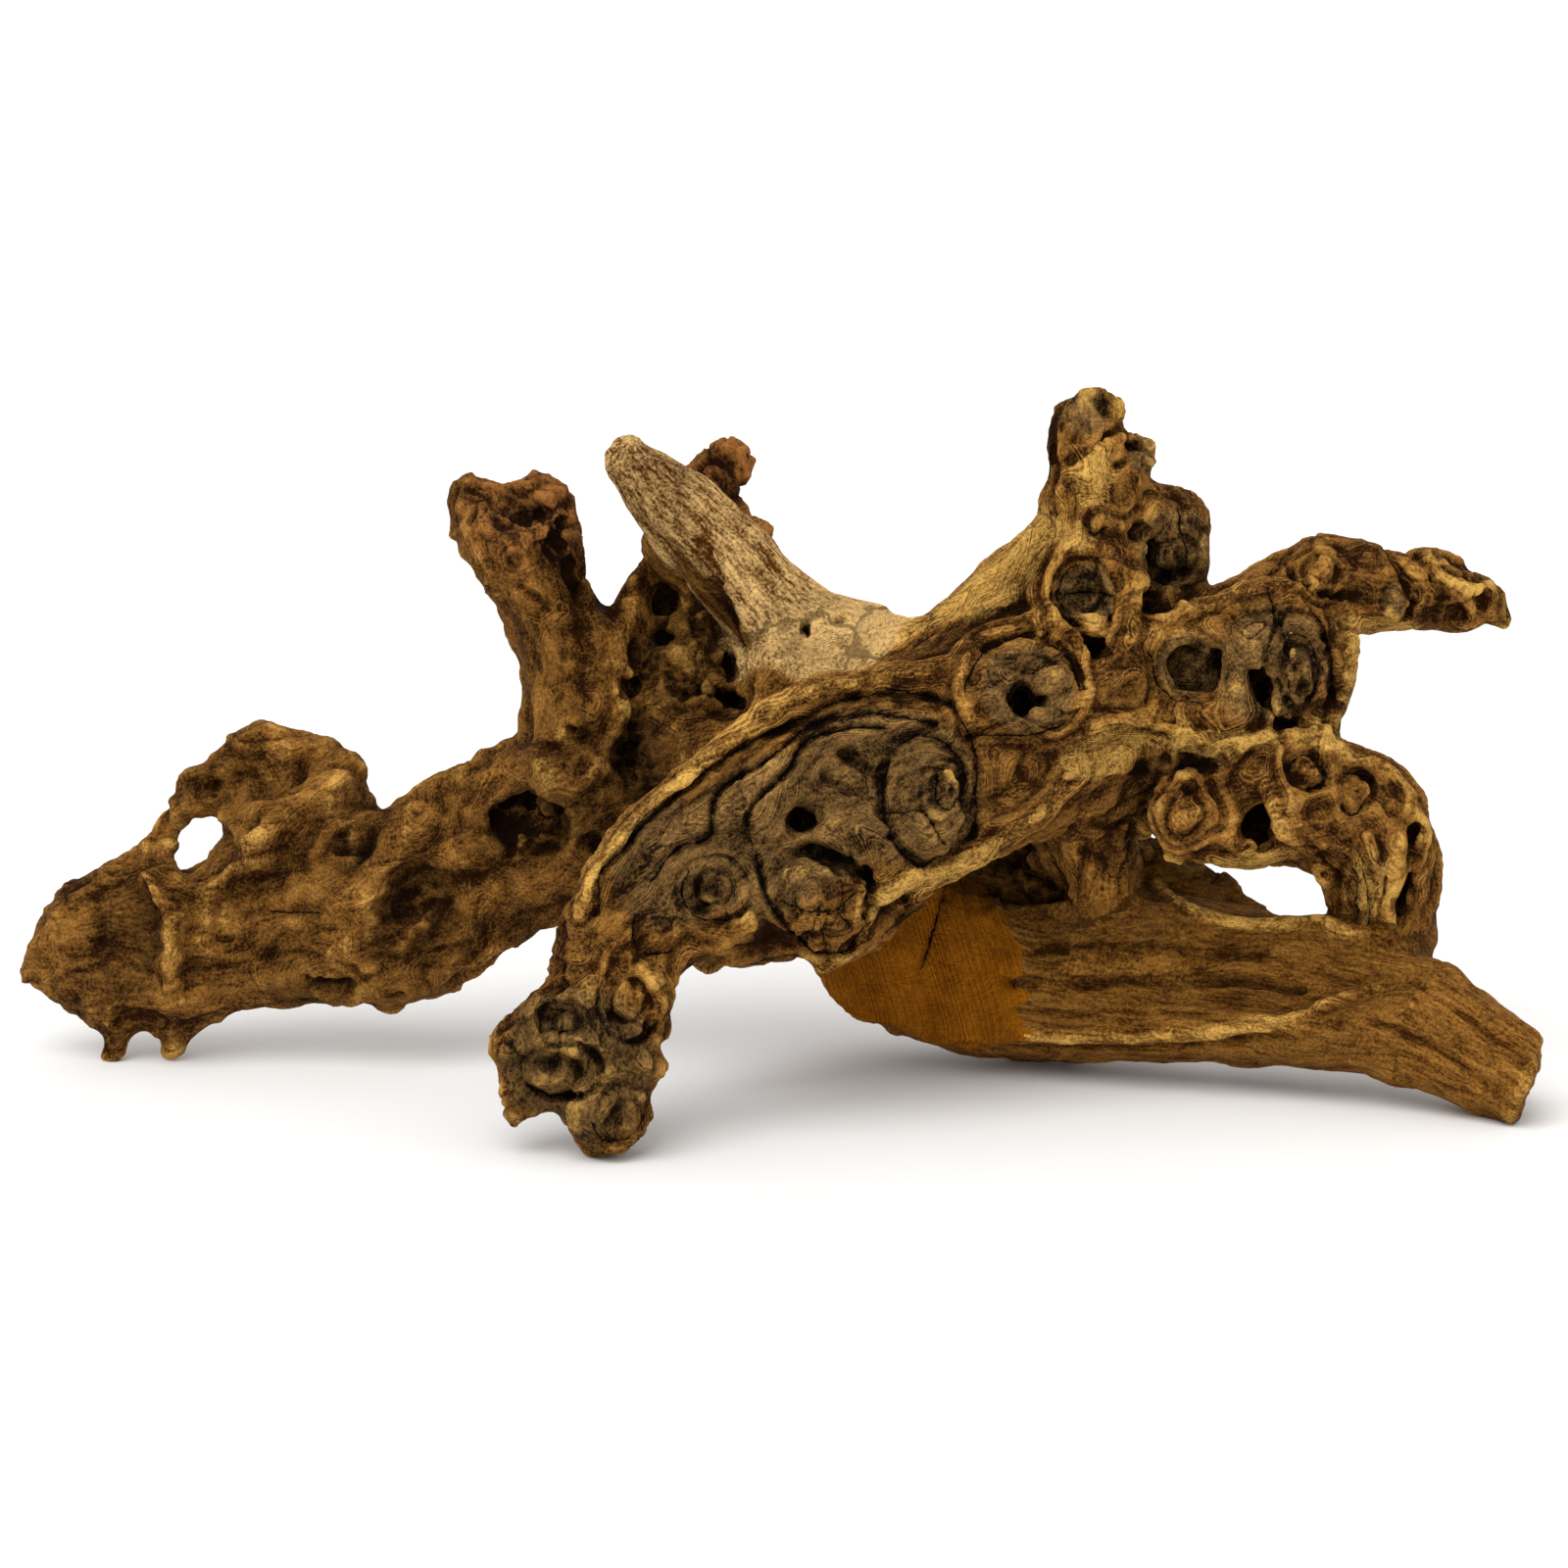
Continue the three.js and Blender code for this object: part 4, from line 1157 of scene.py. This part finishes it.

# %% [markdown]
# ## Ridges and hollows
# Handling and blasting wear a ridge to ochre, partly as a painted highlight, and a hollow gets painted
# shade. The block tells them apart: blurred far more, it reads above nought on a ridge and below nought in a
# hollow.

# %% Ridges and hollows
COARSE = 2  # every second cell is enough for the wide blur
COARSE_ROUNDS, FINE_ROUNDS = 8, 4
RIDGE_RISE, SHADE_RISE = (0.4, 1.9), (0.0, 1.4)
SADDLE_OCHRE, RIDGE_OCHRE, CREST_OCHRE = 0.8, 0.3, 0.75  # how much ochre each of them brings
# Weights of the painted shade in the caves and under the shade ovals.
CAVE_SHADE, SHADE_DARK = 0.75, 0.45
FLANK_SHADE_WEIGHT = 0.7

coarse_block = block[::COARSE, ::COARSE, ::COARSE].copy()
wear(coarse_block, COARSE_ROUNDS)
fine_block = block.copy()
wear(fine_block, FINE_ROUNDS)
from_low = points - BLOCK_LOW.astype(np.float32)
edge = read_between(fine_block, from_low / np.float32(CELL))
bulge = read_between(coarse_block, from_low / np.float32(CELL * COARSE))
# Ochre on ridges is worn wood and also a painted highlight; saddles, rims and the crest keep their own
# ochre.
ochre = SADDLE_OCHRE * saddle + rim + RIDGE_OCHRE * step_up(bulge, *RIDGE_RISE) + CREST_OCHRE * crest
ochre = np.clip(ochre, 0, 1)
# Painted shade: hollows of the wide blur, caves and shade ovals are darkened in colour.
painted_shade = np.clip(step_up(-bulge, *SHADE_RISE) + CAVE_SHADE * caves + SHADE_DARK * shades, 0, 1)
# Painted shade on the pale limb's left flank, which takes cream away there.
pale *= 1 - FLANK_SHADE_WEIGHT * flank_shade
print("bulges from", bulge.min(), "to", bulge.max(), "and edges from", edge.min(), "to", edge.max())

# %% [markdown]
# ## Broken facets
# The arm and the horn split off in flat chips, whose crests caught the blast and turned ochre. Chance
# that is bent and turned gives such chips, because it hides the even grid that chance is read from.

# %% Broken facets
CHANCE_SHIFT = 31  # millimetres between the chance of one axis and that of the next
BEND_SIZE, BEND_REACH = 11, 9  # millimetres
FACET_TURN = 33  # degrees
FACET_STRETCH = (1, 1.6, 1)
WIDE_FACET, SMALL_FACET = (0.7, 14), (0.5, 6)  # share, and size in millimetres
SMALL_FACET_SHIFT = 17
BROKEN_SIZE, BROKEN_SHIFT, BROKEN_RISE = 9, 23, (-0.1, 0.4)
FACET_OCHRE, FACET_CREST = 0.3, 0.09

bend = np.stack([lumps(points + CHANCE_SHIFT * axis, BEND_SIZE) for axis in (1, 2, 3)], axis=1)
turned = (points + BEND_REACH * bend) @ (leaning(FACET_TURN) @ EYE_AXES).astype(np.float32)
facet_side = WIDE_FACET[0] * lumps(turned / FACET_STRETCH, WIDE_FACET[1])
facet_side = facet_side + SMALL_FACET[0] * lumps(turned + SMALL_FACET_SHIFT, SMALL_FACET[1])
broken = step_up(lumps(points + BROKEN_SHIFT, BROKEN_SIZE), *BROKEN_RISE)
facet_crest = np.exp(-((facet_side / FACET_CREST) ** 2))
ochre = np.clip(ochre + FACET_OCHRE * limb * broken * facet_crest, 0, 1)
print("facets are broken on", float((broken * limb).mean()), "of the points")

# %% [markdown]
# ## Layers of relief
# The sandblast ate soft wood and left hard wood proud. Folds, eaten creases, fibres and crumbs are
# layers of chance of several sizes. Where chance passes through nought it makes thin wandering lines,
# which serve as creases, and folded up there it makes sharp ridges.

# %% Layers of relief
FOLD_LEVEL = 0.3


def creases(points, size, width):
    return np.exp(-((lumps(points, size) / width) ** 2))


def folded(points, size):
    return FOLD_LEVEL - np.abs(lumps(points, size))


def layered(points, layers):
    return sum(height * kind(points + shift, *sizes) for height, kind, shift, *sizes in layers)


# Each layer is a height in millimetres, a kind, a shift and a size in millimetres, and a crease's width.
FOLDS = (
    (0.6, lumps, 0, 5),
    (1.1, folded, 9, 8),
    (0.8, folded, 3, 3),
    (-0.8, creases, 7, 7, 0.08),
)
WIDE_CREASES = ((-0.5, creases, 5, 14, 0.04),)
GRAIN = ((0.5, lumps, 0, 1.7), (0.25, lumps, 0, 4))
FINE_FIBRES = ((0.25, lumps, 5, 1.5),)
FINE_GRIT = ((0.15, lumps, 0, 1.2),)
CRUMBS = (
    (1.6, folded, 11, 5),
    (1.0, folded, 0, 2.5),
    (-1.0, creases, 5, 6, 0.06),
)
folds = layered(fibres, FOLDS) + layered(points, WIDE_CREASES)
grain = layered(fibres, GRAIN)
fine = layered(fibres, FINE_FIBRES) + layered(points, FINE_GRIT)
crumbs = layered(turned, CRUMBS)
print("folds reach from", float(folds.min()), "to", float(folds.max()), "mm")

# %% [markdown]
# ## Relief
# Each point moves along its own normal by the sum of the layers, as far as its zone is rough, and sinks
# along cracks. It also moves sideways by a slow wobble, which takes the drawn look out of bowls and
# rims. This is real shape, which the light and the outline both show. Displace modifiers could do the
# same, but layers and zones are mixed more freely as plain numbers.

# %% Relief
LOG_SMOOTH, CREST_SMOOTH = 0.75, 0.6  # next to the pale limb, which is quite smooth
SMOOTH_CALM, RIM_CALM, SADDLE_CALM, HEART_CALM = 0.92, 0.5, 0.5, 0.45  # share of the relief taken away
RIM_FLOW_REACH = 7.0  # millimetres beside a rim in which wood flows along it
HOOK_FLOW = 0.8
FLOW_CALM = 0.55
RING_HEIGHT, FLOW_RING_HEIGHT = 0.25, 0.4  # millimetres
FACET_HEIGHT, FACET_LEVEL = 2.6, 0.2  # millimetres, and where a facet's crest begins
LIMB_CALM = 0.45
CAVE_CRUMBS = 0.8
CAVE_FRONT = 8.0  # millimetres towards the eye, past which heartwood has no crumbs
CRACK_DEPTH, CRACK_WIDTH = 1.3, 0.9  # millimetres
# Painted light on the crests of the facets and painted shade between them.
FACET_LIGHT = 0.35  # share of the facets that shows as lightness
WOBBLE = ((10.0, 1.1), (4.0, 0.35))  # sizes and reaches in millimetres

smooth = np.clip(pale + LOG_SMOOTH * log + sawn + CREST_SMOOTH * crest, 0, 1)
rough = (1 - SMOOTH_CALM * smooth) * (1 - RIM_CALM * rim) * (1 - SADDLE_CALM * saddle)
rough = rough * (1 - HEART_CALM * heart * (1 - limb))
beside_rim = np.exp(-((rim_gap / RIM_FLOW_REACH) ** 2))
flow = np.maximum(beside_rim, HOOK_FLOW * (owner == limb_names.index("hook")))
folds = rough * (folds * (1 - FLOW_CALM * flow) + (RING_HEIGHT + FLOW_RING_HEIGHT * flow) * ring_wave)
facets = FACET_HEIGHT * limb * rough * (FACET_LEVEL - np.abs(facet_side))
proud = folds * (1 - LIMB_CALM * limb) + smooth * (1 - sawn) * grain + rough * fine
crumbling = red + CAVE_CRUMBS * caves * (1 - heart * (points[:, 2] > CAVE_FRONT))
proud += np.clip(crumbling, 0, 1) * crumbs
height = proud + facets - CRACK_DEPTH * np.exp(-((crack / CRACK_WIDTH) ** 2))
# Painted light and shade: the facets change only the colour from here on.
proud += FACET_LIGHT * facets
wobble = np.zeros_like(points)
for size, reach in WOBBLE:
    for axis in range(3):
        wobble[:, axis] += reach * (1 - sawn) * lumps(points + CHANCE_SHIFT * (axis + 1), size)
print("the relief reaches from", float(height.min()), "to", float(height.max()), "mm")

# %% [markdown]
# ## The moved mesh
# The points are moved by the wobble first and then along the normals of that mesh, so that the relief
# stands straight up from the wood. No point may sink under the floor.

# %% The moved mesh
def mesh_from(points, faces, name):
    mesh = bpy.data.meshes.new(name)
    mesh.vertices.add(len(points))
    mesh.vertices.foreach_set("co", (in_part_axes(points) * MM).astype(np.float32).ravel())
    mesh.loops.add(faces.size)
    mesh.loops.foreach_set("vertex_index", faces.astype(np.int32).ravel())
    mesh.polygons.add(len(faces))
    mesh.polygons.foreach_set("loop_start", np.arange(0, faces.size, faces.shape[1], dtype=np.int32))
    mesh.update(calc_edges=True)
    return mesh


fine_mesh = mesh_from(points + wobble, quads, "fine_wood")
normals = np.empty(points.size, np.float32)
fine_mesh.vertex_normals.foreach_get("vector", normals)
moved = in_part_axes(points + wobble) * MM + normals.reshape(-1, 3) * height[:, None] * MM
moved[:, 2] = np.maximum(moved[:, 2], 0)
fine_mesh.vertices.foreach_set("co", moved.astype(np.float32).ravel())
fine_mesh.update()
print("the mesh reaches from", moved.min(0), "to", moved.max(0))

# %% [markdown]
# ## Numbers for the material
# Each point's numbers are stored on the mesh by name, and the material reads them from there. The
# lightness of proud wood is one of them: it paints light on proud wood and on edges and shade in creases,
# and the foot of the pale limb is made lighter too.

# %% Numbers for the material
# Painted highlight on convex edges and painted shade in concave bends.
EDGE_LIGHT, PALE_LIGHT = 1.5, 1.2
PALE_LIGHT_RISE = (45, 75)  # millimetres from the pale limb's tip
LINE_WEIGHT, LIMB_LINE_CALM = 1.6, 0.4  # fibres and rings show less on the rough limbs

pale_light = PALE_LIGHT * pale * step_up(tip_gap, *PALE_LIGHT_RISE)
stored_numbers = {
    "pale": pale,
    "log": log,
    "log_ring": reaches["log"] * LIMBS["log"][1],
    "line_weight": LINE_WEIGHT * (1 - LIMB_LINE_CALM * limb),
    "sawn": sawn_look,
    "red": red,
    "heart": heart,
    "ochre": ochre,
    "painted_shade": painted_shade,
    "ring": ring,
    "crack": crack,
    "crack_side": crack_side,
    # Painted light and shade from the relief and the edges, and a lighter foot of the pale limb.
    "proud": proud + EDGE_LIGHT * edge + pale_light,
}
for name, values in stored_numbers.items():
    fine_mesh.attributes.new(name, "FLOAT", "POINT").data.foreach_set("value", values.astype(np.float32))
fibre_places = fine_mesh.attributes.new("fibre", "FLOAT_VECTOR", "POINT")
fibre_places.data.foreach_set("vector", fibres.astype(np.float32).ravel())
print(len(stored_numbers), "numbers are stored on each point")

# %% [markdown]
# ## A thinner mesh
# The block's mesh has a point in every cell, most of which add nothing. The Decimate modifier spends
# the points where the shape needs them, and mixes the stored numbers as it goes.

# %% A thinner mesh
TRIANGLE_LIMIT = 196_000

wood = bpy.data.objects.new("driftwood_root", fine_mesh)
bpy.context.scene.collection.objects.link(wood)
thin = wood.modifiers.new("thin", "DECIMATE")
thin.ratio = TRIANGLE_LIMIT / (2 * len(quads))
wood.data = bpy.data.meshes.new_from_object(wood.evaluated_get(bpy.context.evaluated_depsgraph_get()))
wood.modifiers.clear()
wood.data.name = "driftwood_root"
wood.data.shade_smooth()
print("the wood was thinned to", len(wood.data.polygons), "faces")

# %% [markdown]
# ## Mopane wood, sandblasted
# Mopane is a heavy, oily hardwood: dark umber heartwood, ochre where the blast wore the ridges, and
# cream sapwood. Blasting with sand leaves it matt, with a fine grit whose pits stay dark. To the eye
# it has no shine at all, only many small steps of light and dark brown. The material is put together
# from nodes, so one small function adds a node with its settings and its links.

# %% The wood's material
# Sandblasted hardwood gives the eye no shine: light on what stands proud is painted, and every pit is dark.
mopane = bpy.data.materials.new("sandblasted_mopane")
mopane.use_nodes = True
tree = mopane.node_tree
shader = tree.nodes["Principled BSDF"]


def linear(colour):
    parts = [int(colour[n:n + 2], 16) / 255 for n in (1, 3, 5)]
    return (*[c / 12.92 if c <= 0.04045 else ((c + 0.055) / 1.055) ** 2.4 for c in parts], 1.0)


def add(kind, inputs, out=0, **settings):
    node = tree.nodes.new("ShaderNode" + kind)
    for name, setting in settings.items():
        setattr(node, name, setting)
    for key, given in inputs.items():
        if isinstance(given, bpy.types.NodeSocket):
            tree.links.new(given, node.inputs[key])
        else:
            node.inputs[key].default_value = given
    return node.outputs[out]


value = {name: add("Attribute", {}, "Fac", attribute_name=name) for name in stored_numbers}
print("the material reads", list(value))

# %% [markdown]
# ## Grit, pits, fibres and rings
# Blasted grain is a tenth of a millimetre fine, which no picture of the whole root would show. Grit,
# pits and fibres are drawn as coarse as they need to show, and the pits and fibres are stretched along
# the limbs. Rings, the log's years and the saw's streaks are chance along a single number.

# %% Grit, pits, fibres and rings
# Sizes are in millimetres. Real grit and fibres are a tenth of these, too fine to show in the picture.
GRIT_SIZE, PIT_SIZE, BLOTCH_SIZE, FIBRE_SIZE = 0.8, 2.2, 10.0, 1.0
FINE_RING_SIZE = RING_SPACING / (5 * math.pi)  # millimetres, some sixteen fine lines in each ring
LOG_RING_SIZE, STREAK_SIZE = 0.2857, 0.32  # millimetres
CHANCE_ROUGHNESS = 0.6
SAW_ACROSS = (0.9, 0.4, 0.15)  # the direction across the saw's streaks

here = add("VectorMath", {0: add("TexCoord", {}, "Object"), 3: 1 / MM}, operation="SCALE")
along_limbs = add("Attribute", {}, "Vector", attribute_name="fibre")
value["saw_across"] = add("VectorMath", {0: here, 1: SAW_ACROSS}, "Value", operation="DOT_PRODUCT")
PATTERNS = {
    "grit": (here, GRIT_SIZE, 3),
    "pits": (along_limbs, PIT_SIZE, 4),
    "blotch": (here, BLOTCH_SIZE, 5),
    "fibre": (along_limbs, FIBRE_SIZE, 4),
}
for name, (places, size, detail) in PATTERNS.items():
    inputs = {"Vector": places, "Scale": 1 / size, "Detail": detail, "Roughness": CHANCE_ROUGHNESS}
    value[name] = add("TexNoise", inputs, "Fac")
LINE_PATTERNS = {
    "fine_ring": ("ring", FINE_RING_SIZE, 2),
    "log_grain": ("log_ring", LOG_RING_SIZE, 2),
    "streak": ("saw_across", STREAK_SIZE, 3),
}
for name, (number, size, detail) in LINE_PATTERNS.items():
    inputs = {"W": value[number], "Scale": 1 / size, "Detail": detail}
    value[name] = add("TexNoise", inputs, "Fac", noise_dimensions="1D")
print(len(PATTERNS) + len(LINE_PATTERNS), "patterns of chance")

# %% [markdown]
# ## Lightness and shares
# Light on proud wood and shade in the creases are painted, so numbers for lightness are put together
# from the relief, the rings and the grit. Each row here is a sum of numbers with their weights, and, where
# two limits are given, a smooth step between them. A weight can be the name of another number. The shares
# that end a zone take in some chance, so that no wood ends along a clean line.

# %% Lightness and shares
SUMS = {
    "grains": ({"grit": 1.0}, 0.36, 0.64),
    "light": ({"proud": 0.7, "grains": 0.45, "pits": 0.8, "blotch": 0.6, "fibre": "line_weight",
               "fine_ring": "line_weight", "line_weight": -1.0},),
    "tone": ({"light": 1.0}, 0.18, 1.87),
    "fibre_light": ({"fibre": 1.8, "proud": 0.35, "grains": 0.35, "blotch": 0.6},),
    "fibre_tone": ({"fibre_light": 1.0}, 1.0, 2.0),
    "log_tone": ({"fibre_light": 1.0, "log_grain": 0.5}, 1.05, 2.2),
    "sawn_tone": ({"streak": 0.9, "log_grain": 0.35, "grit": 0.5, "blotch": 0.9}, 0.9, 1.75),
    "ochre_share": ({"ochre": 1.1, "light": 0.4}, 0.49, 1.23),
    "heart_share": ({"heart": 1.0, "blotch": 0.4}, 0.35, 1.0),
    "pale_share": ({"pale": 1.0, "blotch": 0.5}, 0.6, 0.95),
    "sawn_share": ({"sawn": 1.0, "pits": 0.7}, 0.75, 1.0),
    "log_share": ({"log": 0.8},),
    # Painted shade in hollows, caves and undersides.
    "painted_shade_share": ({"painted_shade": 0.7},),
    "crack_near": ({"crack": 1.0}, 1.6, 0.8),
    # Painted shade: a soft dark band beside each crack.
    "crack_edge": ({"crack": 1.0}, 2.0, 0.2),
    "crack_shade": ({"crack_edge": 0.3},),
    "crack_thin": ({"crack_gap": -1.0, "pits": -0.9, "grit": -0.4}, -1.05, -0.7),
    "crack_share": ({"crack_thin": "crack_near"},),
    "bump": ({"grit": 1.1, "pits": 1.8, "fine_ring": 0.8, "fibre": 1.0, "crack_share": -0.8},),
}
value["crack_gap"] = add("Math", {0: value["crack_side"]}, operation="ABSOLUTE")
for name, (weights, *limits) in SUMS.items():
    amount = 0.0
    for part, weight in weights.items():
        terms = {0: value[part], 1: value.get(weight, weight), 2: amount}
        amount = add("Math", terms, operation="MULTIPLY_ADD")
    if limits:
        amount = add("MapRange", {0: amount, 1: limits[0], 2: limits[1]}, interpolation_type="SMOOTHSTEP")
    value[name] = amount
print(len(SUMS), "sums")

# %% [markdown]
# ## Colours
# Every kind of wood is mixed from its own dark and light colour, and laid over the one before by its
# share: brown wood first, then heartwood, the log, ochre, the red broken ends, the sawn face and cream
# sapwood. Painted shade in hollows, caves and undersides, painted shade beside each crack and the dark
# lines of the cracks go on last, over everything.

# %% Colours
BROWN_DARK, BROWN_LIGHT = "#2a1200", "#ac7634"
# The darkest brown, used for painted shade and for the lines of the cracks.
SHADE_AND_CRACK_DARK = "#080300"
WOODS = {
    "heartwood": ("heart_share", "tone", "#190b00", "#9c7440"),
    "log": ("log_share", "log_tone", "#482604", "#ac7630"),
    "ochre": ("ochre_share", "tone", "#54300a", "#e8b45a"),
    "red_end": ("red", "tone", "#2c1606", "#a86e36"),
    "sawn_face": ("sawn_share", "sawn_tone", "#683400", "#c07612"),
    "sapwood": ("pale_share", "fibre_tone", "#562c04", "#f8ca80"),
}
SURFACE = {"Roughness": 0.8, "IOR": 1.5, "Specular IOR Level": 0.06}  # dusty fibres scatter nearly all light

browns = {0: value["tone"], 6: linear(BROWN_DARK), 7: linear(BROWN_LIGHT)}
colour = add("Mix", browns, 2, data_type="RGBA")
for share, tone, dark, light in WOODS.values():
    own = add("Mix", {0: value[tone], 6: linear(dark), 7: linear(light)}, 2, data_type="RGBA")
    colour = add("Mix", {0: value[share], 6: colour, 7: own}, 2, data_type="RGBA")
# Painted shade in hollows and beside cracks, then the dark crack lines, go on last.
for share in ("painted_shade_share", "crack_shade", "crack_share"):
    colour = add("Mix", {0: value[share], 6: colour, 7: linear(SHADE_AND_CRACK_DARK)}, 2, data_type="RGBA")
tree.links.new(colour, shader.inputs["Base Color"])
bump = add("Bump", {"Height": value["bump"], "Distance": MM, "Strength": 1.0}, "Normal")
tree.links.new(bump, shader.inputs["Normal"])
for name, setting in SURFACE.items():
    shader.inputs[name].default_value = setting
wood.data.materials.append(mopane)
print("the material has", len(tree.nodes), "nodes")

# %% [markdown]
# ## The piece on its frame
# The mesh rides on the solid's only body and stands for the solid, which is then hidden.

# %% The piece
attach(wood, "root")
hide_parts("driftwood")
print(wood.name, "stands for the solid")

# %% [markdown]
# ## The floor
# The photograph was taken on white paper. A single wide sheet, matt and nearly white, gives the same
# even ground, and reaches far enough that its edge is never seen.

# %% The floor
FLOOR_SIDE = 16.0  # metres
PAPER_WHITE = "#f4f3f1"
PAPER_ROUGHNESS = 0.9

half = FLOOR_SIDE / 2
floor_corners = [(-half, -half, 0), (half, -half, 0), (half, half, 0), (-half, half, 0)]
floor_mesh = bpy.data.meshes.new("paper_floor")
floor_mesh.from_pydata(floor_corners, [], [(0, 1, 2, 3)])
floor = bpy.data.objects.new("paper_floor", floor_mesh)
bpy.context.scene.collection.objects.link(floor)
# Uncoated paper gives the eye an even white without any glint.
paper = bpy.data.materials.new("white_paper")
paper.use_nodes = True
paper_shader = paper.node_tree.nodes["Principled BSDF"]
paper_shader.inputs["Base Color"].default_value = linear(PAPER_WHITE)
paper_shader.inputs["Roughness"].default_value = PAPER_ROUGHNESS
floor_mesh.materials.append(paper)
print("the floor is", FLOOR_SIDE, "m wide")

# %% [markdown]
# ## The light
# The photograph was lit by large soft lamps in a white room. A white world gives the even light, and a
# broad lamp far up at the left acts as the softbox: as a sun with a wide disc, it lights the whole
# paper evenly and leaves soft shadows to the right.

# %% The light
ROOM_COLOUR = (1, 1, 1, 1)
ROOM_STRENGTH = 0.88
LAMP_TRAVEL = (0.4, 0.7, -1.2)  # the way that the light goes
LAMP_DISC = math.radians(50)
LAMP_STRENGTH = 1.65

room = bpy.data.worlds.new("white_room")
room.use_nodes = True
background = room.node_tree.nodes["Background"]
background.inputs["Color"].default_value = ROOM_COLOUR
background.inputs["Strength"].default_value = ROOM_STRENGTH
bpy.context.scene.world = room
bpy.context.scene.view_settings.view_transform = "Standard"
softbox = bpy.data.lights.new("softbox_above_left", "SUN")
softbox.angle = LAMP_DISC
softbox.energy = LAMP_STRENGTH
lamp = bpy.data.objects.new("softbox_above_left", softbox)
lamp.rotation_euler = Vector(LAMP_TRAVEL).to_track_quat("-Z", "Y").to_euler()
bpy.context.scene.collection.objects.link(lamp)
print("the lamp's strength is", LAMP_STRENGTH, "and the room's is", ROOM_STRENGTH)

# %% [markdown]
# ## The camera
# The camera stands at the eye that every detail was placed from. Its lens follows from the distance and
# from the width that the photograph covers, so that the picture can be laid over the photograph.

# %% The camera
SENSOR = 36.0  # millimetres

camera = bpy.data.cameras.new("photo_camera")
camera.sensor_width = SENSOR
camera.lens = SENSOR * EYE_DISTANCE / (PHOTO_SIDE * PIXEL)
eye = bpy.data.objects.new("photo_camera", camera)
eye.location = (PHOTO_CENTRE + TOWARDS * EYE_DISTANCE) * MM
eye.rotation_euler = Vector(-TOWARDS).to_track_quat("-Z", "Y").to_euler()
bpy.context.scene.collection.objects.link(eye)
bpy.context.scene.camera = eye
print("the lens is", camera.lens, "mm")
